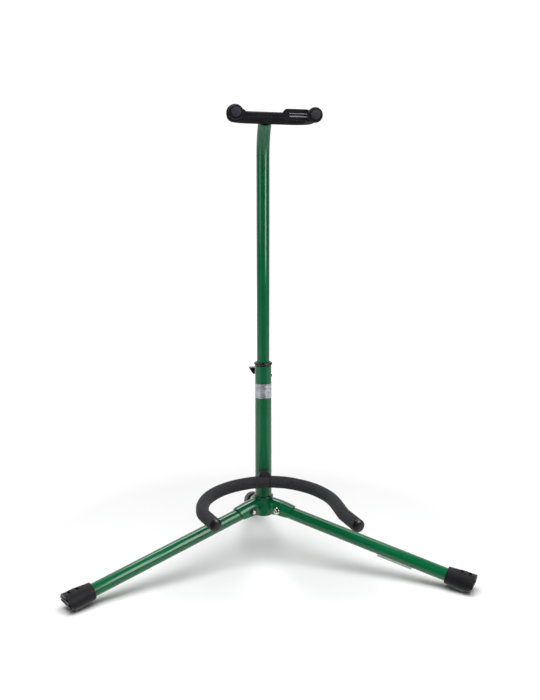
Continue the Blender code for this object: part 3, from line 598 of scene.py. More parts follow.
def rounded(stations, radius=0.4 * MM, ring=False):
    """The stations with each corner rounded, and a line close beside each rounding."""
    corners = [Vector(s[:2]) for s in stations]
    count = len(corners)
    out = []
    for i in range(count):
        at_end = not ring and i in (0, count - 1)
        here = corners[i]
        if at_end or abs(here.y) < 1e-6:
            out.append(tuple(here))
            continue
        before = corners[i - 1]
        after = corners[(i + 1) % count]
        into = here - before
        out_of = after - here
        if into.length < 1e-7 or out_of.length < 1e-7:
            continue
        turn = into.angle(out_of)
        if turn < SLIGHT_TURN:
            out.append(tuple(here))
            continue
        wish = stations[i][2] if len(stations[i]) > 2 else radius
        room = LARGEST_SHARE * min(into.length, out_of.length)
        reach = min(wish * math.tan(turn / 2.0), room)
        start = here - into.normalized() * reach
        end = here + out_of.normalized() * reach
        hold = min(0.25 * MM, 0.3 * reach)
        if into.length > 4.0 * reach:
            out.append(tuple(start - into.normalized() * hold))
        for k in range(CORNER_STEPS + 1):
            share = k / CORNER_STEPS
            first = start.lerp(here, share)
            second = here.lerp(end, share)
            out.append(tuple(first.lerp(second, share)))
        if out_of.length > 4.0 * reach:
            out.append(tuple(end + out_of.normalized() * hold))
    return out


# %% [markdown]
# ## From mesh to piece
#
# A piece is a mesh with a finish, a body to ride on, and the solids that it stands for. Faces
# are shaded smooth, and edges sharper than an angle stay crisp.


# %% Pieces
def piece(name, mesh, body, finish, matrix=None, stands_for=(), angle=38.0):
    """Links a mesh as a piece that rides on a body, shaded smooth except at sharp edges."""
    if matrix is not None:
        mesh.transform(matrix)
    mesh.shade_smooth()
    mesh.set_sharp_from_angle(angle=math.radians(angle))
    mesh.materials.clear()
    mesh.materials.append(finish)
    made = bpy.data.objects.new(name, mesh)
    bpy.context.scene.collection.objects.link(made)
    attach(made, body)
    if stands_for:
        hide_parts(*stands_for)
    size = [round(side * 1000.0, 1) for side in made.dimensions]
    print(name, "rides on", body, "faces", len(mesh.polygons), "mm", size)
    return made


def lathe(
    name, stations, body, finish, matrix=None, stands_for=(), ring=False, steps=64, soft=0.4 * MM
):
    """A turned piece: stations are (height, radius) on the Z axis of matrix."""
    mesh = sweep_mesh(name, UPRIGHT, rounded(stations, soft, ring), steps, ring)
    return piece(name, mesh, body, finish, matrix, stands_for)


# %% [markdown]
# ## Cutting and softening
#
# Holes, grooves and saddles are cut with boolean modifiers, which are applied at once so that
# the result is a plain mesh. A bevel modifier then softens the edges that the cuts left.


# %% Cutting
def applied(mesh, *changes):
    """The mesh after modifiers, each given as (type, settings)."""
    carrier = bpy.data.objects.new("carrier", mesh)
    bpy.context.scene.collection.objects.link(carrier)
    for kind, settings in changes:
        modifier = carrier.modifiers.new(kind, kind)
        for key, value in settings.items():
            setattr(modifier, key, value)
    graph = bpy.context.evaluated_depsgraph_get()
    result = bpy.data.meshes.new_from_object(carrier.evaluated_get(graph))
    bpy.data.objects.remove(carrier, do_unlink=True)
    return result


def carved(mesh, *tools, operation="DIFFERENCE"):
    """The mesh with each tool mesh cut away."""
    for tool in tools:
        holder = bpy.data.objects.new("tool", tool)
        bpy.context.scene.collection.objects.link(holder)
        change = {"operation": operation, "solver": "EXACT", "object": holder}
        mesh = applied(mesh, ("BOOLEAN", change))
        bpy.data.objects.remove(holder, do_unlink=True)
    return mesh


def cylinder(radius, low, high, matrix=None, steps=48):
    """A closed cylinder on the Z axis of matrix."""
    stations = [(low, 0.0), (low, radius), (high, radius), (high, 0.0)]
    mesh = sweep_mesh("tool", UPRIGHT, stations, steps)
    if matrix is not None:
        mesh.transform(matrix)
    return mesh


def soft_edges(mesh, width, segments=3, angle=35.0):
    """The mesh with every edge sharper than an angle rounded to a width."""
    settings = {
        "width": width,
        "segments": segments,
        "limit_method": "ANGLE",
        "angle_limit": math.radians(angle),
    }
    return applied(mesh, ("BEVEL", settings))


# %% [markdown]
# ## Lower mast tube
#
# The lower tube is 25 mm steel tube, open at the top, with a hole for the clamp's stud, one for
# the cradle's screw and one for the collar's rivet. It is swept as a ring, so the wall shows at
# the mouth, and the holes are cut through the wall. Parts that are welded, pressed or screwed
# together keep a gap of 0.3 mm.

# %% Lower mast tube
GAP = 0.3 * MM
TUBE_WALL = 1.2 * MM
LOWER_RADIUS = 12.5 * MM
LOWER_BOTTOM = 69.0 * MM
LOWER_TOP = 300.0 * MM
STUD_RADIUS = 3.0 * MM
SCREW_HOLE = 2.8 * MM
RIVET_HOLE = 1.9 * MM
X_AS_Z = Matrix.Rotation(math.radians(90.0), 4, "Y")
Y_AS_Z = Matrix.Rotation(math.radians(-90.0), 4, "X")
QUARTER_TURN = Matrix.Rotation(math.radians(90.0), 4, "Z")


def on_mast(height, degrees):
    """A frame on the mast's axis whose Z axis points out at an angle from +X."""
    turn = Matrix.Rotation(math.radians(degrees), 4, "Z")
    return Matrix.Translation((0.0, 0.0, height)) @ turn @ X_AS_Z


def tube_mesh(name, path, length, radius, steps):
    """An open tube along a straight path, with its wall and slightly rounded rims."""
    inside = radius - TUBE_WALL
    profile = [(0.0, inside), (0.0, radius), (length, radius), (length, inside)]
    return sweep_mesh(name, path, rounded(profile, 0.3 * MM, ring=True), steps, ring=True)


clamp_frame = on_mast(287.5 * MM, 95.0) @ QUARTER_TURN
collar_rivet_frame = on_mast(284.5 * MM, 354.0)
cradle_screw_frame = Matrix.Translation((0.0, 0.0, 135.1 * MM)) @ Y_AS_Z
lower_path = [(0.0, 0.0, LOWER_BOTTOM), (0.0, 0.0, LOWER_TOP)]
lower_mesh = tube_mesh("lower_tube_paint", lower_path, LOWER_TOP - LOWER_BOTTOM, LOWER_RADIUS, 72)
lower_mesh = carved(
    lower_mesh,
    cylinder(STUD_RADIUS + GAP, 4.0 * MM, 26.0 * MM, clamp_frame, 28),
    cylinder(SCREW_HOLE, -21.0 * MM, 24.0 * MM, cradle_screw_frame, 20),
    cylinder(RIVET_HOLE, 10.6 * MM, 16.0 * MM, collar_rivet_frame, 16),
)
piece("lower_tube_paint", lower_mesh, "base", enamel, None, ["lower_tube"])

# %% [markdown]
# ## Hub sleeve
#
# A short sleeve is pressed over the tube's foot, with a rolled lip round its top. Its section is
# turned like work on a lathe: the profile is drawn once and swept round the upright axis.

# %% Hub sleeve
SLEEVE_RADIUS = 14.0 * MM
LIP_RADIUS = 15.2 * MM
LIP_TOP = 96.6 * MM
SLEEVE_BOTTOM = 67.0 * MM
sleeve = [
    (SLEEVE_BOTTOM, SLEEVE_RADIUS),
    (LIP_TOP - 3.0 * MM, SLEEVE_RADIUS, 0.8 * MM),
    (LIP_TOP - 2.2 * MM, LIP_RADIUS, 0.9 * MM),
    (LIP_TOP, LIP_RADIUS, 0.9 * MM),
    (LIP_TOP, LOWER_RADIUS + GAP, 0.3 * MM),
    (SLEEVE_BOTTOM, LOWER_RADIUS + GAP, 0.3 * MM),
]
lathe(
    "hub_sleeve_paint",
    sleeve,
    "base",
    enamel,
    None,
    ["hub_sleeve"],
    ring=True,
    steps=72,
    soft=0.6 * MM,
)

# %% [markdown]
# ## Leg brackets
#
# Each leg hangs in a saddle pressed from 1.8 mm sheet and welded to the sleeve: a round crown,
# two flat walls, and a waist where it meets the sleeve. It is a grid of points bent over the
# crown, given the sheet's thickness by a solidify modifier, with the sleeve cut out of its end.
# The front crowns fall away gently. The rear leg is steeper, so its crown stays up longer and
# then drops more sharply.

# %% Bracket sizes
BRACKET_WALL = 1.8 * MM
BRACKET_HALF = 11.9 * MM
BRACKET_WAIST = 9.6 * MM
BRACKET_OUT_TOP = 52.0 * MM
BRACKET_OUT_BOTTOM = 43.5 * MM
PIVOT_OUT = 27.5 * MM
PIVOT_HEIGHT = 78.7 * MM
BOLT_RADIUS = 3.0 * MM
LEGS = (
    ("left", math.radians(210.0), math.radians(12.7), 305.5 * MM),
    ("right", math.radians(330.0), math.radians(12.7), 305.5 * MM),
    ("rear", math.radians(90.0), math.radians(20.75), 194.1 * MM),
)

# %% Bracket profile
CROWN_HEIGHT = 94.5 * MM
CROWN_START = 13.0 * MM
# A crown's fall: its slope, the curve added to it, and the power that the curve grows with
FRONT_FALL = (0.10, 3.6, 2)
REAR_FALL = (0.05, 181.7, 3)
EDGE_HEIGHT = 72.0 * MM
EDGE_LEVEL_TO = 27.0 * MM
EDGE_SLOPE = 0.12


def bracket_top(out, rear):
    """The crown's height at a distance out from the mast's axis."""
    slope, curve, power = REAR_FALL if rear else FRONT_FALL
    beyond = max(out, CROWN_START) - CROWN_START
    return CROWN_HEIGHT - slope * beyond - curve * beyond**power


def bracket_bottom(out):
    """The walls' lower edge: level out to the bolt, and then falling a little."""
    return EDGE_HEIGHT - EDGE_SLOPE * max(0.0, out - EDGE_LEVEL_TO)


def eased(share):
    """A share from 0 to 1 that starts and ends softly."""
    return share * share * (3.0 - 2.0 * share)


def bracket_half(out):
    """Half the saddle's width: pinched to a waist at the sleeve, full width from the leg on."""
    share = min(max((out - 12.5 * MM) / (5.5 * MM), 0.0), 1.0)
    return BRACKET_WAIST + (BRACKET_HALF - BRACKET_WAIST) * eased(share)


# %% Bracket skin
BRACKET_START = 6.0 * MM
SKIN_STEPS = 24


def bracket_point(share, turn, rear):
    """A point on the saddle's skin. turn runs from 0 to 1 across the crown, past it on the walls."""
    angle = math.pi * min(max(turn, 0.0), 1.0)
    out_here = BRACKET_OUT_TOP
    for _ in range(5):
        out = BRACKET_START + share * (out_here - BRACKET_START)
        top = bracket_top(out, rear)
        low = bracket_bottom(out)
        spring = top - BRACKET_HALF
        height = spring + BRACKET_HALF * math.sin(angle)
        down = max(0.0, -turn, turn - 1.0)
        height -= min(1.0, down) * (spring - low)
        lift = (height - low) / (top - low)
        out_here = BRACKET_OUT_BOTTOM + lift * (BRACKET_OUT_TOP - BRACKET_OUT_BOTTOM)
    return Vector((out, bracket_half(out) * math.cos(angle), height))


def sheet_mesh(name, rows):
    """A sheet of faces between rows of points."""
    made = bmesh.new()
    drawn = [[made.verts.new(point) for point in row] for row in rows]
    for near, far in zip(drawn, drawn[1:]):
        for j in range(len(near) - 1):
            made.faces.new((near[j], far[j], far[j + 1], near[j + 1]))
    return finished_mesh(name, made)


def bracket_mesh(rear):
    """The saddle's skin, given the sheet's thickness."""
    shares = [i / SKIN_STEPS for i in range(SKIN_STEPS + 1)]
    turns = [-1.0, -0.6, -0.25] + shares + [1.25, 1.6, 2.0]
    mesh = sheet_mesh("bracket", [[bracket_point(share, t, rear) for t in turns] for share in shares])
    middle = mesh.polygons[len(mesh.polygons) // 2]
    if middle.normal.z < 0.0:
        mesh.flip_normals()
    wall = {"thickness": BRACKET_WALL, "offset": -1.0, "use_even_offset": True}
    return applied(mesh, ("SOLIDIFY", wall))


# %% Weld bead
WELD_RADIUS = 0.6 * MM
WELD_TOP = 93.4 * MM
WELD_POINTS = 60
WELD_STEPS = 90
# In radians a metre, which is one ripple every 1.7 mm
RIPPLE_TURN = 3600.0


def weld_bead(side, facing, rear):
    """The weld round the saddle's inner end, painted over, with a slight ripple."""
    reach = SLEEVE_RADIUS + 0.5 * MM
    points = []
    for i in range(WELD_POINTS + 1):
        turn = -0.95 + 2.9 * i / WELD_POINTS
        angle = math.pi * min(max(turn, 0.0), 1.0)
        lateral = BRACKET_WAIST * math.cos(angle)
        out = math.sqrt(max(reach**2 - lateral**2, 0.0))
        top = min(bracket_top(out, rear), WELD_TOP)
        height = top - BRACKET_HALF + BRACKET_HALF * math.sin(angle)
        down = max(0.0, -turn, turn - 1.0)
        height -= down * (top - BRACKET_HALF - bracket_bottom(out))
        points.append((out, lateral, height))
    length = track(points)[3][-1]

    def ripple(along, angle, radius):
        return radius * (1.0 + 0.10 * math.sin(along * RIPPLE_TURN) + 0.06 * math.cos(3.0 * angle))

    stations = [(0.0, 0.0), (0.1 * MM, 0.4 * MM)]
    for i in range(WELD_STEPS + 1):
        stations.append((0.4 * MM + (length - 0.8 * MM) * i / WELD_STEPS, WELD_RADIUS))
    stations += [(length - 0.1 * MM, 0.4 * MM), (length, 0.0)]
    mesh = sweep_mesh("weld", points, stations, 10, shape=ripple)
    piece("weld_bead_" + side, mesh, "base", enamel, facing, (), 60.0)


# %% Three brackets
def leg_frame(azimuth, slope):
    """Origin on the pivot, X out along the leg, Y along the bolt, Z above the leg."""
    pivot = Vector((PIVOT_OUT * math.cos(azimuth), PIVOT_OUT * math.sin(azimuth), PIVOT_HEIGHT))
    return Matrix.Translation(pivot) @ Matrix.Rotation(azimuth, 4, "Z") @ Matrix.Rotation(slope, 4, "Y")


def bolt_frame(azimuth, slope):
    """Origin on the pivot, Z along the bolt."""
    pivot = leg_frame(azimuth, slope).translation
    return Matrix.Translation(pivot) @ Matrix.Rotation(azimuth, 4, "Z") @ Y_AS_Z


def bolt_hole(azimuth, slope):
    """What is cut away for the leg's bolt."""
    return cylinder(BOLT_RADIUS + GAP, -20.0 * MM, 20.0 * MM, bolt_frame(azimuth, slope), 32)


for side, azimuth, slope, _ in LEGS:
    rear = side == "rear"
    facing = Matrix.Rotation(azimuth, 4, "Z")
    saddle = bracket_mesh(rear)
    saddle.transform(facing)
    saddle = carved(
        saddle,
        cylinder(SLEEVE_RADIUS + GAP, 40.0 * MM, 120.0 * MM, None, 72),
        cylinder(LIP_RADIUS + GAP, LIP_TOP - 3.3 * MM, 120.0 * MM, None, 72),
        bolt_hole(azimuth, slope),
    )
    saddle = soft_edges(saddle, 0.45 * MM)
    node = "leg_bracket_" + side
    piece("leg_bracket_paint_" + side, saddle, "base", enamel, None, [node])
    weld_bead(side, facing, rear)

# %% [markdown]
# ## Pivot bolts
#
# A bolt with a domed cross-recess head and a thin hex nut hold each leg in its saddle. The bolt is
# turned and its recess cut as two crossed slots. The nut is a hexagonal prism, cut by a cone at
# both ends, which leaves the curved chamfers that a real nut has.


# %% Cutting blocks and flat shapes
def block(low, high):
    """A box between two corners."""
    made = bmesh.new()
    bmesh.ops.create_cube(made, size=1.0)
    bmesh.ops.scale(made, vec=Vector(high) - Vector(low), verts=made.verts)
    bmesh.ops.translate(made, vec=(Vector(high) + Vector(low)) / 2, verts=made.verts)
    return finished_mesh("tool", made)


def cross_recess(half_long, half_wide, low, high):
    """Two crossed slots, for a screwdriver."""
    return [
        block((-half_long, -half_wide, low), (half_long, half_wide, high)),
        block((-half_wide, -half_long, low), (half_wide, half_long, high)),
    ]


def prism(outline, low, high):
    """A flat outline in X and Z, as thick as low to high along Y."""
    made = bmesh.new()
    near = [made.verts.new((x, low, z)) for x, z in outline]
    far = [made.verts.new((x, high, z)) for x, z in outline]
    made.faces.new(near)
    made.faces.new(far[::-1])
    for i in range(len(outline)):
        after = (i + 1) % len(outline)
        made.faces.new((near[after], near[i], far[i], far[after]))
    return finished_mesh("prism", made)


# %% Hex nut
def hex_nut(half, low, high, bore):
    """A hex nut with chamfered corners. half is from its middle to a flat."""
    corner = half / math.cos(math.pi / 6.0)
    turns = [math.tau * i / 6.0 for i in range(6)]
    made = prism([(corner * math.cos(turn), corner * math.sin(turn)) for turn in turns], low, high)
    made.transform(Matrix.Rotation(math.radians(90.0), 4, "X"))
    cone = [
        (low, 0.0),
        (low, half * 0.97),
        (low + 0.9 * MM, corner * 1.02),
        (high - 0.9 * MM, corner * 1.02),
        (high, half * 0.97),
        (high, 0.0),
    ]
    made = carved(made, sweep_mesh("cone", UPRIGHT, cone, 64), operation="INTERSECT")
    return carved(made, cylinder(bore, low - MM, high + MM, None, 32))


# %% Three bolts and nuts
SEAT = 12.05 * MM
NUT_HEIGHT = 2.9 * MM
NUT_HALF = 5.0 * MM
BOLT_END = SEAT + 3.7 * MM
# How far each ring of the domed head stands out from the bracket, and its radius, in millimetres
HEAD_RINGS = ((3.4, 0.0), (3.3, 2.4), (2.7, 4.1), (1.6, 5.2), (0.8, 5.5), (0.0, 5.5))
for side, azimuth, slope, _ in LEGS:
    across = bolt_frame(azimuth, slope)
    bolt = [(-SEAT - out * MM, radius * MM) for out, radius in HEAD_RINGS]
    bolt += [(-SEAT, BOLT_RADIUS), (BOLT_END - 0.4 * MM, BOLT_RADIUS)]
    bolt += [(BOLT_END, BOLT_RADIUS - 0.6 * MM), (BOLT_END, 0.0)]
    bolt = sweep_mesh("bolt", UPRIGHT, rounded(bolt, 0.3 * MM), 48)
    bolt = carved(bolt, *cross_recess(2.5 * MM, 0.55 * MM, -SEAT - 5.0 * MM, -SEAT - 2.2 * MM))
    piece("leg_bolt_steel_" + side, bolt, "base", zinc, across, ["leg_bolt_" + side])
    nut = hex_nut(NUT_HALF, SEAT, SEAT + NUT_HEIGHT, BOLT_RADIUS + GAP)
    piece("leg_nut_steel_" + side, nut, "base", dull_zinc, across, ["leg_nut_" + side])

# %% [markdown]
# ## Leg tubes
#
# Plain 19 mm tube, open at the inner end, with the bolt's hole through it. Each leg is made in
# its own frame, with the origin on the pivot and X out along the leg, and then set in place.

# %% Leg tubes
LEG_RADIUS = 9.5 * MM
LEG_INNER_END = -4.8 * MM
FOOT_END_WALL = 10.5 * MM
for side, azimuth, slope, length in LEGS:
    outer = length - FOOT_END_WALL
    path = [(LEG_INNER_END, 0.0, 0.0), (outer, 0.0, 0.0)]
    tube = tube_mesh("leg", path, outer - LEG_INNER_END, LEG_RADIUS, 64)
    tube.transform(leg_frame(azimuth, slope))
    tube = carved(tube, bolt_hole(azimuth, slope))
    node = "leg_tube_" + side
    piece("leg_tube_paint_" + side, tube, "leg_" + side, enamel, None, [node])

# %% [markdown]
# ## Rubber feet
#
# Each foot is a moulded boot with a heel cut at a slant and flat on the floor. Ribs cross its
# end and heel, split by an upright groove, and two small slots lie on top, where the mould's
# pins were. The outward faces of the rib ends get a second, paler finish: partly scuffing by the
# floor, partly a painted highlight for the light they catch.


# %% Foot shape
FOOT_RADIUS = 15.0 * MM
FOOT_NECK = 12.2 * MM
FOOT_LENGTH = 40.5 * MM
HEEL_RUN = 10.5 * MM
HEEL_WEAR = 2.2 * MM
STRAIGHT_DOWN = math.radians(225.0)
GROOVE_WIDTH = 3.3 * MM
GROOVE_DEPTH = 3.0 * MM


def foot_skin(length):
    """The rubber boot in its leg's frame, before anything is cut from it."""
    neck = length - FOOT_LENGTH
    bore = LEG_RADIUS + GAP
    pocket = length - FOOT_END_WALL + GAP
    stations = [
        (length, 0.0),
        (length, FOOT_RADIUS + 0.5 * MM, 0.9 * MM),
        (length - 7.0 * MM, FOOT_RADIUS, 20.0 * MM),
        (length - 16.5 * MM, FOOT_RADIUS, 30.0 * MM),
        (neck + 9.0 * MM, FOOT_NECK + 0.9 * MM, 30.0 * MM),
        (neck, FOOT_NECK, 1.1 * MM),
        (neck, bore, 0.5 * MM),
        (pocket, bore),
        (pocket, 0.0),
    ]

    def worn_heel(along, angle, radius):
        """The heel's lower corners are worn round."""
        if radius < bore + 0.2 * MM:
            return radius
        share = min(max((along - (length - 24.0 * MM)) / (12.0 * MM), 0.0), 1.0)
        from_below = angle - STRAIGHT_DOWN
        if math.cos(from_below) < 0.0:
            return radius
        return radius - HEEL_WEAR * share * math.sin(2.0 * from_below) ** 2

    path = [(0.0, 0.0, 0.0), (0.01, 0.0, 0.0)]
    return sweep_mesh("foot", path, rounded(stations), 80, shape=worn_heel)


# %% Foot tread
def tread_cuts(length):
    """What is cut from a foot: the slanted heel, the grooves between the ribs, and the slots."""
    below = -30.0 * MM
    heel = [
        (length - HEEL_RUN, -FOOT_RADIUS),
        (length + HEEL_RUN, FOOT_RADIUS),
        (length + 20.0 * MM, below),
        (length - HEEL_RUN, below),
    ]
    cuts = [prism(heel, -30.0 * MM, 30.0 * MM)]
    # Grooves across the end, from its top down, and across the heel
    heel_down = Vector((-HEEL_RUN, -FOOT_RADIUS)).normalized()
    for corner, down, starts in (
        (Vector((length, FOOT_RADIUS)), Vector((0.0, -1.0)), (3.0 * MM, 9.6 * MM)),
        (Vector((length, 0.0)), heel_down, (2.4 * MM, 8.8 * MM)),
    ):
        inward = Vector((down.y, -down.x))
        for start in starts:
            near = corner + down * start
            far = near + down * GROOVE_WIDTH
            outline = [near - inward * GROOVE_DEPTH, far - inward * GROOVE_DEPTH]
            outline += [far + inward * GROOVE_DEPTH, near + inward * GROOVE_DEPTH]
            cuts.append(prism([tuple(point) for point in outline], -20.0 * MM, 20.0 * MM))
    # One upright groove splits the ribs, and two small slots lie on top
    split_low = (length - 2.4 * MM, -1.3 * MM, -16.0 * MM)
    cuts.append(block(split_low, (length + 3.0 * MM, 1.3 * MM, 10.0 * MM)))
    for back in (9.0, 20.5):
        slot_low = (length - (back + 2.0) * MM, -4.0 * MM, FOOT_NECK - 0.6 * MM)
        cuts.append(block(slot_low, (length - (back - 2.0) * MM, 4.0 * MM, 20.0 * MM)))
    return cuts


# %% Three feet
SCUFF_AND_HIGHLIGHT_LENGTH = 12.0 * MM
for side, azimuth, slope, length in LEGS:
    in_leg = leg_frame(azimuth, slope)
    foot = soft_edges(carved(foot_skin(length), *tread_cuts(length)), 0.3 * MM, 2, 40.0)
    foot.transform(in_leg)
    foot = carved(foot, block((-0.5, -0.5, -0.1), (0.5, 0.5, 0.0)))
    node = "foot_cap_" + side
    made = piece("foot_rubber_" + side, foot, "leg_" + side, foot_rubber, None, [node])
    # The outward faces of the rib ends take the paler rubber: scuffing and a painted highlight.
    made.data.materials.append(scuff_and_highlight_rubber)
    outward = in_leg.to_3x3() @ Vector((1.0, 0.0, 0.0))
    for face in made.data.polygons:
        along = (in_leg.inverted() @ face.center).x
        if face.normal.dot(outward) > 0.5 and along > length - SCUFF_AND_HIGHLIGHT_LENGTH:
            face.material_index = 1

# %% [markdown]
# ## Leg label
#
# A strip of paper under the right leg, wrapped over less than a quarter of the tube and pinched
# into a low fin that hangs 2.6 mm below it. It is a grid of points laid on the tube, a little
# uneven where the glue has let go, with the paper's thickness added by a solidify modifier.

# %% Leg label
LABEL_ROWS = 14
LABEL_COLUMNS = 31
LABEL_START = 163.5 * MM
LABEL_LENGTH = 52.5 * MM
# Where the paper's edge and fin lie round the leg and how far it wraps, in degrees
LABEL_EDGE = -141.0
FIN_AT = -112.0
LABEL_WRAP = 62.0
FIN_DEEP = 2.6 * MM
label_rows = []
for i in range(LABEL_ROWS + 1):
    along = LABEL_START + LABEL_LENGTH * i / LABEL_ROWS
    row = []
    for j in range(LABEL_COLUMNS + 1):
        degrees = LABEL_EDGE + LABEL_WRAP * j / LABEL_COLUMNS
        angle = math.radians(degrees)
        lift = 0.12 * MM * noise.noise(Vector((along * 90.0, angle * 2.0, 3.0)))
        fin = FIN_DEEP * math.exp(-(((degrees - FIN_AT) / 4.0) ** 2))
        reach = LEG_RADIUS + 0.18 * MM + abs(lift) + fin
        row.append((along, reach * math.cos(angle), reach * math.sin(angle)))
    label_rows.append(row)
label_mesh = sheet_mesh("leg_label_paper", label_rows)
if label_mesh.polygons[0].normal.z > 0.0:
    label_mesh.flip_normals()
label_mesh = applied(label_mesh, ("SOLIDIFY", {"thickness": 0.12 * MM, "offset": 1.0}))
right_leg = leg_frame(LEGS[1][1], LEGS[1][2])
piece("leg_label_paper", label_mesh, "leg_right", paper, right_leg, ["leg_label"])

# %% [markdown]
# ## Collar and rivet
#
# A black bush lines the mouth of the lower tube, with a rolled bead on top that the upper tube
# slides through. A small rivet in the tube's right side holds it. The bead is a half circle, and
# the rest of the profile is joined to it.

# %% Collar and rivet
BEAD_MIDDLE = 302.75 * MM
BEAD_RADIUS = 2.55 * MM
BUSH_OUTSIDE = 11.0 * MM
BUSH_INSIDE = 9.8 * MM
BUSH_BOTTOM = 276.5 * MM
collar = arc_points((BEAD_MIDDLE, 11.45 * MM), BEAD_RADIUS, 0.0, 180.0, 12)
collar += [
    (BEAD_MIDDLE - BEAD_RADIUS, BUSH_OUTSIDE),
    (BUSH_BOTTOM, BUSH_OUTSIDE),
    (BUSH_BOTTOM, BUSH_INSIDE),
    (BEAD_MIDDLE + BEAD_RADIUS, BUSH_INSIDE),
]
collar_mesh = sweep_mesh("collar", UPRIGHT, rounded(collar, 0.3 * MM, True), 72, True)
stud_hole = cylinder(STUD_RADIUS + GAP, 4.0 * MM, 26.0 * MM, clamp_frame, 28)
collar_mesh = carved(collar_mesh, stud_hole)
piece("collar_plastic", collar_mesh, "base", black_abs, None, ["collar_bush"])

rivet = [
    (13.9 * MM, 0.0),
    (13.7 * MM, 1.2 * MM),
    (13.1 * MM, 2.1 * MM),
    (12.75 * MM, 2.1 * MM),
    (12.7 * MM, 1.6 * MM),
    (11.2 * MM, 1.6 * MM),
    (11.2 * MM, 0.0),
]
lathe(
    "collar_rivet_steel",
    rivet,
    "base",
    zinc,
    collar_rivet_frame,
    ["collar_rivet"],
    steps=32,
    soft=0.3 * MM,
)

# %% [markdown]
# ## Clamp
#
# A threaded boss is welded behind the mast, a stud screws through it against the upper tube, and
# a moulded wing head turns the stud. The boss is cut to the tube's curve, the thread is swept as
# a row of crests, and the wing is a flat outline as thick as the head, grooved for the fingers.

# %% Clamp boss and stud
THREAD_TURNS = 12
THREAD_PITCH = 1.0 * MM
boss = cylinder(6.0 * MM, 8.0 * MM, 18.0 * MM, clamp_frame, 56)
boss = carved(
    boss,
    cylinder(LOWER_RADIUS + GAP, 0.2, 0.32, None, 72),
    cylinder(STUD_RADIUS + GAP, 4.0 * MM, 26.6 * MM, clamp_frame, 32),
)
boss = soft_edges(boss, 0.5 * MM)
piece("clamp_nut_paint", boss, "base", enamel, None, ["clamp_nut"])

stud = [(26.0 * MM, 0.0), (26.0 * MM, STUD_RADIUS - 0.3 * MM)]
for i in range(THREAD_TURNS * 2):
    crest = STUD_RADIUS if i % 2 else STUD_RADIUS - 0.4 * MM
    stud.append((24.8 * MM - i * THREAD_PITCH / 2.0, crest))
stud += [(10.6 * MM, STUD_RADIUS), (9.8 * MM, STUD_RADIUS - 0.8 * MM), (9.8 * MM, 0.0)]
stud_mesh = sweep_mesh("stud", UPRIGHT, stud, 32)
piece("wing_stud_steel", stud_mesh, "clamp_stud", zinc, clamp_frame, ["wing_stud"], 25.0)


# %% Wing head
WING_FRONT = 33.0 * MM


def wing_mesh():
    """The moulded wing head in a frame with X across, Z up and Y out along the stud."""
    right = [
        (4.5 * MM, -7.6 * MM),
        (7.5 * MM, -5.6 * MM),
        (11.8 * MM, -5.0 * MM),
        (13.2 * MM, -3.6 * MM),
        (16.6 * MM, 2.2 * MM),
        (16.8 * MM, 3.6 * MM),
        (15.4 * MM, 4.6 * MM),
        (8.0 * MM, 4.6 * MM),
        (5.0 * MM, 7.2 * MM),
    ]
    outline = right + [(-x, z) for x, z in right[::-1]]
    mesh = prism(outline, 20.3 * MM, WING_FRONT)
    grooves = []
    for side in (-1.0, 1.0):
        for k in range(4):
            middle = side * (7.4 + 2.3 * k) * MM
            place = Matrix.Translation((middle, WING_FRONT + 0.1 * MM, 0.0))
            grooves.append(cylinder(0.75 * MM, -12.0 * MM, 12.0 * MM, place, 16))
    recess = cylinder(4.2 * MM, 31.6 * MM, 36.0 * MM, Y_AS_Z, 40)
    bore = cylinder(STUD_RADIUS + GAP, 10.0 * MM, 26.6 * MM, Y_AS_Z, 32)
    mesh = carved(mesh, recess, bore, *grooves)
    return soft_edges(mesh, 0.7 * MM, 3, 40.0)


# The wing's across, out and up directions in the clamp's frame
WING_AXES = ((-1.0, 0.0, 0.0), (0.0, 0.0, 1.0), (0.0, 1.0, 0.0))
wing_frame = clamp_frame @ Matrix(WING_AXES).to_4x4()
wing = wing_mesh()
piece("wing_head_plastic", wing, "clamp_knob", black_abs, wing_frame, ["wing_head"])

# %% [markdown]
# ## Mast label
#
# The band of film round the lower tube. It is swept as a thin ring whose skin lifts a few
# hundredths of a millimetre here and there, as film does over paint.


# %% Mast label
def film_lift(along, angle, radius):
    """The film's radius where it lifts a little off the paint."""
    where = Vector((math.cos(angle) * 2.0, math.sin(angle) * 2.0, along * 150.0))
    return radius + 0.05 * MM * noise.noise(where)


FILM_LOW = 251.3 * MM
FILM_TALL = 21.5 * MM
FILM_STEPS = 16
film_inside = LOWER_RADIUS + 0.08 * MM
film_outside = LOWER_RADIUS + 0.30 * MM
film_stations = [(0.0, film_inside)]
film_stations += [(FILM_TALL * i / FILM_STEPS, film_outside) for i in range(FILM_STEPS + 1)]
film_stations += [(FILM_TALL, film_inside)]
film_path = [(0.0, 0.0, FILM_LOW), (0.0, 0.0, FILM_LOW + FILM_TALL)]
band = sweep_mesh("band", film_path, film_stations, 72, ring=True, shape=film_lift)
piece("label_band_film", band, "base", film, None, ["label_band"])

# %% [markdown]
# ## Cradle foam
#
# The cradle is a bent rod in two foam sleeves that meet just right of the middle. A flat path of
# straights and arcs gives the rod's line. Foam is soft, so its skin swells and dips by about a
# sixth of a millimetre, and each sleeve ends in a soft edge, with a dark gap at the seam.


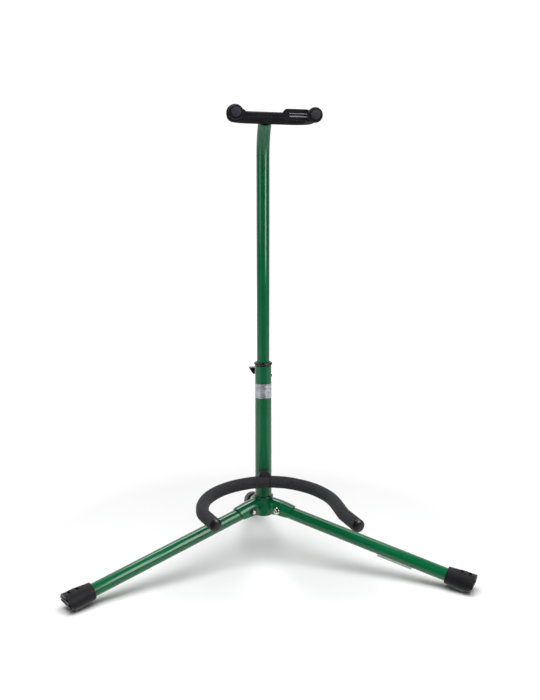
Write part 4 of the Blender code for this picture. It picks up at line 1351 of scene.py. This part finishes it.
# %% Flat paths
def path_points(start, heading, segments, step=math.radians(3.0)):
    """A flat path of (None, length) straights and (radius, degrees) arcs; positive turns left."""
    x, y = start
    points = [(x, y)]
    for radius, amount in segments:
        if radius is None:
            count = max(1, round(amount / (4.0 * MM)))
            for _ in range(count):
                x += amount / count * math.cos(heading)
                y += amount / count * math.sin(heading)
                points.append((x, y))
            continue
        turn = math.radians(amount)
        count = max(2, math.ceil(abs(turn) / step))
        side = 1.0 if turn > 0 else -1.0
        centre_x = x - side * radius * math.sin(heading)
        centre_y = y + side * radius * math.cos(heading)
        for _ in range(count):
            heading += turn / count
            x = centre_x + side * radius * math.sin(heading)
            y = centre_y - side * radius * math.cos(heading)
            points.append((x, y))
    return points


# %% Cradle path
CRADLE_HEIGHT = 124.5 * MM
CRADLE_FORWARD = 21.0 * MM
FOAM_RADIUS = 9.0 * MM
FOAM_BORE = 4.55 * MM
LEFT_ARM = ((81.0, 23.0), (106.0, 66.0), (None, 7.0), (60.0, 22.0), (None, 33.0))
RIGHT_ARM = ((74.0, 39.0), (120.0, 45.8), (None, 41.0), (25.0, -9.6), (None, 41.0))


def arm_path(segments, side):
    """One arm of the cradle's rod, from the middle out. Sizes in segments are in millimetres."""
    sized = []
    for radius, amount in segments:
        sized.append((None, amount * MM) if radius is None else (radius * MM, amount))
    flat = path_points((0.0, CRADLE_FORWARD), 0.0, sized)
    return [(side * u, -v, CRADLE_HEIGHT) for u, v in flat]


left_path = arm_path(LEFT_ARM, -1.0)
right_path = arm_path(RIGHT_ARM, 1.0)


# %% Foam sleeves
FOAM_HOLDER_HALF = 9.6 * MM
SEAM = 7.0 * MM
SEAM_GAP = 1.1 * MM


def foam_sleeve(name, path, seed, cut_low, cut_high, node):
    """A foam sleeve along a path, cut flat between two places across the seam."""
    length = track(path)[3][-1]
    count = round(length / (2.2 * MM))
    outer = [(length * i / count, FOAM_RADIUS) for i in range(count + 1)]
    stations = [(0.0, FOAM_BORE)] + outer[:-1]
    stations += [(length - 0.9 * MM, FOAM_RADIUS), (length - 0.25 * MM, FOAM_RADIUS - 0.25 * MM)]
    stations += [(length, FOAM_RADIUS - 0.9 * MM), (length, FOAM_BORE)]
    stations += [(length - length * i / 40, FOAM_BORE) for i in range(1, 40)]

    def squeeze(along, angle, radius):
        """Swells and dips outside, and none in the bore."""
        if radius < FOAM_BORE + MM:
            return radius
        where = Vector((math.cos(angle) * 1.4, math.sin(angle) * 1.4, along * 55.0 + seed))
        fine = Vector((math.cos(angle) * 5.0, math.sin(angle) * 5.0, along * 420.0 + seed))
        return radius + 0.16 * MM * noise.noise(where) + 0.07 * MM * noise.noise(fine)

    mesh = sweep_mesh(name, path, stations, 56, ring=True, shape=squeeze)
    mesh = carved(
        mesh,
        block((cut_low, -34.0 * MM, 0.1), (cut_high, 0.0, 0.15)),
        block((-FOAM_HOLDER_HALF, -23.9 * MM, 0.1), (FOAM_HOLDER_HALF, 0.0, 0.15)),
    )
    mesh = soft_edges(mesh, 0.55 * MM, 2, 50.0)
    made = piece(name, mesh, "base", foam, None, [node], 50.0)


# The seam is right of the middle, so the left sleeve starts on the right arm
left_sleeve_path = right_path[4:0:-1] + left_path
seam_left = SEAM - SEAM_GAP / 2.0
seam_right = SEAM + SEAM_GAP / 2.0
foam_sleeve("foam_sleeve_left", left_sleeve_path, 19.0, seam_left, 40.0 * MM, "cradle_foam_left")
foam_sleeve("foam_sleeve_right", right_path, 7.0, -20.0 * MM, seam_right, "cradle_foam_right")

# %% [markdown]
# ## Cradle caps
#
# A thin domed cap of ABS closes each end of the foam. It is turned about the rod's last bit of
# line, so it needs a frame that points along any direction.


# %% Cradle caps
CAP_START = 0.8 * MM
CAP_RISE = 3.0 * MM


def along_frame(direction, at):
    """A frame at a place whose Z axis points in a direction."""
    turn = Vector(direction).to_track_quat("Z", "Y").to_matrix().to_4x4()
    return Matrix.Translation(at) @ turn


for side, points in (("left", left_path), ("right", right_path)):
    direction = Vector(points[-1]) - Vector(points[-2])
    cap = [(CAP_START + CAP_RISE, 0.0)]
    for i in range(1, 9):
        angle = math.radians(90.0 - 11.25 * i)
        cap.append((CAP_START + CAP_RISE * math.sin(angle), FOAM_RADIUS * math.cos(angle)))
    cap += [(0.25 * MM, 8.8 * MM), (0.25 * MM, FOAM_BORE), (2.0 * MM, FOAM_BORE), (2.0 * MM, 0.0)]
    lathe(
        "cradle_cap_plastic_" + side,
        cap,
        "base",
        black_abs,
        along_frame(direction, points[-1]),
        ["cradle_end_cap_" + side],
        steps=56,
    )

# %% [markdown]
# ## Cradle block and screw
#
# A rubber block with a domed top carries the rod in front of the mast, held by a screw from
# behind. Its front is a flat outline with a half circle on top, cut by the mast, the rod and the
# screw, and its edges are well rounded.

# %% Cradle block and screw
BLOCK_HALF = 9.3 * MM
BLOCK_BOTTOM = 116.0 * MM
BLOCK_CORNER = 2.0 * MM
outline = [(-BLOCK_HALF, BLOCK_BOTTOM + BLOCK_CORNER), (BLOCK_CORNER - BLOCK_HALF, BLOCK_BOTTOM)]
outline += [(BLOCK_HALF - BLOCK_CORNER, BLOCK_BOTTOM), (BLOCK_HALF, BLOCK_BOTTOM + BLOCK_CORNER)]
outline += arc_points((0.0, 132.3 * MM), BLOCK_HALF, 0.0, 180.0, 24)
saddle_block = prism(outline, -23.6 * MM, -5.0 * MM)
rod_frame = Matrix.Translation((0.0, -CRADLE_FORWARD, CRADLE_HEIGHT)) @ X_AS_Z
saddle_block = carved(
    saddle_block,
    cylinder(LOWER_RADIUS + GAP, 0.1, 0.16, None, 72),
    cylinder(FOAM_BORE, -30.0 * MM, 30.0 * MM, rod_frame, 32),
    cylinder(SCREW_HOLE, -21.4 * MM, 24.0 * MM, cradle_screw_frame, 20),
)
saddle_block = soft_edges(saddle_block, 1.6 * MM, 4)
node = "cradle_bracket"
piece("cradle_block_rubber", saddle_block, "base", block_rubber, None, [node])

screw = [
    (16.0 * MM, 0.0),
    (15.9 * MM, 2.6 * MM),
    (14.4 * MM, 4.6 * MM),
    (12.8 * MM, 4.8 * MM),
    (12.8 * MM, 2.5 * MM),
    (-20.6 * MM, 2.5 * MM),
    (-21.0 * MM, 0.0),
]
screw_mesh = sweep_mesh("screw", UPRIGHT, rounded(screw, 0.3 * MM), 40)
screw_mesh = carved(screw_mesh, *cross_recess(2.4 * MM, 0.5 * MM, 14.6 * MM, 20.0 * MM))
node = "cradle_screw"
piece("cradle_screw_steel", screw_mesh, "base", zinc, cradle_screw_frame, [node])

# %% [markdown]
# ## Upper mast tube
#
# The upper tube is 19 mm tube, bent forward into the fork. Bending a tube in a press leaves a
# shallow crease in the front of the bend. The tube is swept along the bent line, and then its
# points near the crease are pushed in by a soft valley that leans to the right as it rises.

# %% Upper tube line
UPPER_RADIUS = 9.5 * MM
UPPER_BOTTOM = 185.0 * MM
BEND_START = 603.5 * MM
RUN_IN = 4.0 * MM
BEND_RADIUS = 62.0 * MM
BEND_DEGREES = 45.0
BEND_ANGLE = math.radians(BEND_DEGREES)
TUBE_TO_CROSSBAR = 11.4 * MM
turn_mast = Matrix.Rotation(math.radians(2.5), 4, "Z")
bend_forward = BEND_RADIUS * (1.0 - math.cos(BEND_ANGLE))
bend_height = BEND_START + BEND_RADIUS * math.sin(BEND_ANGLE)
tip = TUBE_TO_CROSSBAR - 5.8 * MM
crossbar_forward = bend_forward + TUBE_TO_CROSSBAR * math.sin(BEND_ANGLE)
crossbar_height = bend_height + TUBE_TO_CROSSBAR * math.cos(BEND_ANGLE)

bend = path_points((0.0, 0.0), 0.0, [(BEND_RADIUS, BEND_DEGREES)])
mast_path = [(0.0, 0.0, UPPER_BOTTOM), (0.0, 0.0, BEND_START - RUN_IN)]
mast_path += [(0.0, -forward, BEND_START + rise) for rise, forward in bend]
tip_y = -bend_forward - tip * math.sin(BEND_ANGLE)
tip_height = bend_height + tip * math.cos(BEND_ANGLE)
mast_path.append((0.0, tip_y, tip_height))

# %% Upper tube
CREASE_MIDDLE = 26.0 * MM
CREASE_LENGTH = 17.0 * MM
CREASE_WIDTH = 2.1 * MM
CREASE_DEPTH = 1.1 * MM
CREASE_LEAN = 0.05
mast_length = track(mast_path)[3][-1]
bend_at = BEND_START - UPPER_BOTTOM
curved = mast_length - bend_at
bore = UPPER_RADIUS - TUBE_WALL
tube = [(0.0, bore)]
tube += [(bend_at * i / 12, UPPER_RADIUS) for i in range(13)]
tube += [(bend_at + curved * i / 36, UPPER_RADIUS) for i in range(1, 37)]
tube += [(mast_length, bore)]
tube += [(mast_length - curved * i / 18, bore) for i in range(1, 19)]
mast_mesh = sweep_mesh("mast", mast_path, tube, 72, ring=True)
for vertex in mast_mesh.vertices:
    co = vertex.co
    rise = co.z - BEND_START
    if rise < -RUN_IN:
        continue
    along = (rise - CREASE_MIDDLE) / CREASE_LENGTH
    across = (co.x - 0.6 * MM - CREASE_LEAN * rise) / CREASE_WIDTH
    # Only the skin more than 4 mm in front of the bent line is pushed in
    front_at = -BEND_RADIUS * (1.0 - math.cos(rise / BEND_RADIUS)) - 4.0 * MM
    if co.y < front_at and abs(along) < 2.0:
        depth = CREASE_DEPTH * math.exp(-along * along) * math.exp(-across * across)
        vertex.co.y += depth
        vertex.co.z += depth * 0.6
piece("upper_tube_paint", mast_mesh, "upper_mast", mast_enamel, turn_mast, ["upper_tube"])

# %% [markdown]
# ## Neck fork
#
# A steel core bent into a fork and covered in rubber, with a slight upward rise to its arms. The
# cover is swept along the fork's line in one skin and cut where the mast enters it. A ball end
# sits on each arm, with a flat face of slightly paler rubber set in its front.

# %% Fork line
CROSSBAR_RADIUS = 8.4 * MM
CORE_RADIUS = 5.0 * MM
ARM_SPACING = 53.0 * MM
FORK_CORNER = 24.0 * MM
ARM_HEIGHT = 657.0 * MM
COVER_END = 75.5 * MM
BALL_START = 82.5 * MM
BALL_END = 98.5 * MM
BALL_RADIUS = 10.2 * MM
FORK_OFFSET = 5.0 * MM
FORK_ROLL = Matrix.Rotation(math.radians(1.3), 4, "Y")
to_crossbar = Matrix.Translation((FORK_OFFSET, 0.0, crossbar_height))
fork_frame = turn_mast @ to_crossbar @ FORK_ROLL @ Matrix.Translation((0.0, 0.0, -crossbar_height))
fork_half = [(None, ARM_SPACING - FORK_CORNER), (FORK_CORNER, 90.0)]
corner_forward = crossbar_forward + FORK_CORNER
fork_right = path_points((0.0, crossbar_forward), 0.0, fork_half, math.radians(5.0))
arm_rise = (ARM_HEIGHT - crossbar_height) / (BALL_END - corner_forward)


def fork_point(side, u, v):
    """A place on the fork's line: u out to a side, v forward, rising along the arm."""
    return (side * u, -v, crossbar_height + arm_rise * max(0.0, v - corner_forward))


# %% Fork cover
OUTER_STEPS = 110
INNER_STEPS = 60
half_line = fork_right[1:] + [(ARM_SPACING, COVER_END)]
cover_path = [fork_point(-1.0, u, v) for u, v in half_line[::-1]]
cover_path += [fork_point(1.0, u, v) for u, v in half_line]
cover_length = track(cover_path)[3][-1]
outer = [(cover_length * i / OUTER_STEPS, CROSSBAR_RADIUS) for i in range(OUTER_STEPS + 1)]
inner = [(cover_length * (1.0 - i / INNER_STEPS), CORE_RADIUS + GAP) for i in range(INNER_STEPS + 1)]
cover = sweep_mesh("cover", cover_path, rounded(outer + inner, 1.0 * MM, True), 56, ring=True)
cover.transform(fork_frame)
neck_direction = Vector((0.0, -math.sin(BEND_ANGLE), math.cos(BEND_ANGLE)))
neck_frame = turn_mast @ along_frame(neck_direction, (0.0, -bend_forward, bend_height))
cover = carved(cover, cylinder(UPPER_RADIUS + GAP, -30.0 * MM, tip + GAP, neck_frame, 64))
cover = soft_edges(cover, 0.5 * MM, 3, 45.0)
piece("fork_cover_rubber", cover, "upper_mast", fork_rubber, None, ["yoke_cover"])

# %% Ball ends
FACE_RADIUS = 6.8 * MM
FACE_GAP = 0.8 * MM
ball_length = BALL_END - BALL_START
pocket = FACE_RADIUS + FACE_GAP
half_circle = arc_points((ball_length - BALL_RADIUS, 0.0), BALL_RADIUS, 0.0, 90.0, 12)
dome = [(height, radius) for height, radius in half_circle if radius > pocket + 0.2 * MM]
rim = dome[0][0]
ball = [(rim - 1.8 * MM, 0.0), (rim - 1.8 * MM, pocket), (rim, pocket)] + dome
ball += [
    (1.6 * MM, BALL_RADIUS - 0.4 * MM),
    (0.0, BALL_RADIUS - 1.6 * MM),
    (0.0, CORE_RADIUS + GAP),
    (ball_length - 5.4 * MM, CORE_RADIUS + GAP),
    (ball_length - 5.4 * MM, 0.0),
]
face = [(rim - 1.6 * MM, 0.0), (rim - 1.6 * MM, FACE_RADIUS), (rim + 0.4 * MM, FACE_RADIUS, 0.9 * MM)]
face += [(rim + 1.2 * MM, 4.5 * MM, 9.0 * MM), (rim + 1.6 * MM, 0.0)]
for name, side in (("left", -1.0), ("right", 1.0)):
    start = Vector(fork_point(side, ARM_SPACING, BALL_START))
    ball_frame = fork_frame @ along_frame((0.0, -1.0, arm_rise), start)
    lathe(
        "fork_ball_rubber_" + name,
        ball,
        "upper_mast",
        fork_rubber,
        ball_frame,
        ["yoke_end_" + name],
        steps=56,
        soft=0.5 * MM,
    )
    lathe(
        "fork_ball_face_" + name,
        face,
        "upper_mast",
        ball_face_rubber,
        ball_frame,
        steps=56,
    )

# %% [markdown]
# ## Strap
#
# A rubber strap keeps the guitar's neck in the fork: an eye round the left arm, a narrow web, a
# thicker grip and a hook that is open below. Its outline is drawn flat, as the mould was cut,
# thickened and softened. Two raised ribs on the grip are set into it, drawn in pale rubber as a
# painted highlight along them.


# %% Strap outline
def smooth_run(first, second, count=5):
    """Points from first to second along a soft S."""
    across = second[0] - first[0]
    up = second[1] - first[1]
    shares = [i / count for i in range(1, count)]
    return [(first[0] + across * share, first[1] + up * eased(share)) for share in shares]


def strap_outline():
    """The strap from the front, with the left arm at the origin: eye, web, grip and hook."""
    far = 2.0 * ARM_SPACING
    notch = CORE_RADIUS + GAP
    points = arc_points((0.0, 0.0), 11.7 * MM, 30.0, 312.0, 40)
    low = [
        (14.6 * MM, -4.0 * MM),
        (64.6 * MM, -3.2 * MM),
        (71.0 * MM, -6.9 * MM),
        (96.0 * MM, -7.1 * MM),
        (98.5 * MM, -8.2 * MM),
        (far - notch, -8.6 * MM),
    ]
    points += smooth_run(points[-1], low[0], 4) + [low[0], low[1]]
    points += smooth_run(low[1], low[2]) + low[2:]
    points += arc_points((far, 0.0), notch, 180.0, 0.0, 16)
    points.append((far + notch, -8.6 * MM))
    points += arc_points((far, 0.0), 10.0 * MM, -55.0, 137.0, 24)
    high = [(96.0 * MM, 7.9 * MM), (68.4 * MM, 7.7 * MM), (61.4 * MM, 1.6 * MM), (17.4 * MM, 0.9 * MM)]
    points += high[:2] + smooth_run(high[1], high[2]) + high[2:]
    points += smooth_run(high[3], points[0], 4)
    return points


# %% Strap
STRAP_FORWARD = 79.0 * MM
strap_at = Vector(fork_point(-1.0, ARM_SPACING, STRAP_FORWARD))
strap_frame = fork_frame @ Matrix.Translation(strap_at)
strap = prism(strap_outline(), -1.8 * MM, 1.8 * MM)
strap = carved(strap, cylinder(CORE_RADIUS + GAP, -10.0 * MM, 10.0 * MM, Y_AS_Z, 48))
strap = soft_edges(strap, 0.6 * MM, 3, 40.0)
piece("strap_rubber", strap, "neck_strap", strap_rubber, strap_frame, ["safety_strap"])
# The ribs' pale rubber is a painted highlight.
for name, low, high in (("upper", 1.0 * MM, 2.2 * MM), ("lower", -2.9 * MM, -1.1 * MM)):
    rib = block((72.5 * MM, -3.3 * MM, low), (97.0 * MM, -1.2 * MM, high))
    rib = soft_edges(rib, 0.5 * MM)
    piece("strap_rib_" + name, rib, "neck_strap", rib_highlight_rubber, strap_frame)

# %% [markdown]
# ## Hidden pieces
#
# The plugs, the inserts in the legs, the guide ring, the rod and the fork's core are mostly out
# of sight. Their own solids are right as they are, so they stay, and only get their finish.

# %% Finishes of the hidden pieces
KEPT = {"glide_ring": white_nylon, "yoke_core": zinc}
# The cradle rod is black so that the seam between the foam sleeves reads dark: painted shade.
for node_name in ("tube_bottom_plug", "upper_tube_plug", "cradle_rod"):
    KEPT[node_name] = black_abs
for side, *_ in LEGS:
    KEPT["leg_insert_" + side] = black_abs
for node_name, finish in KEPT.items():
    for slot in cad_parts[node_name].material_slots:
        slot.material = finish
print("kept solids:", len(KEPT))
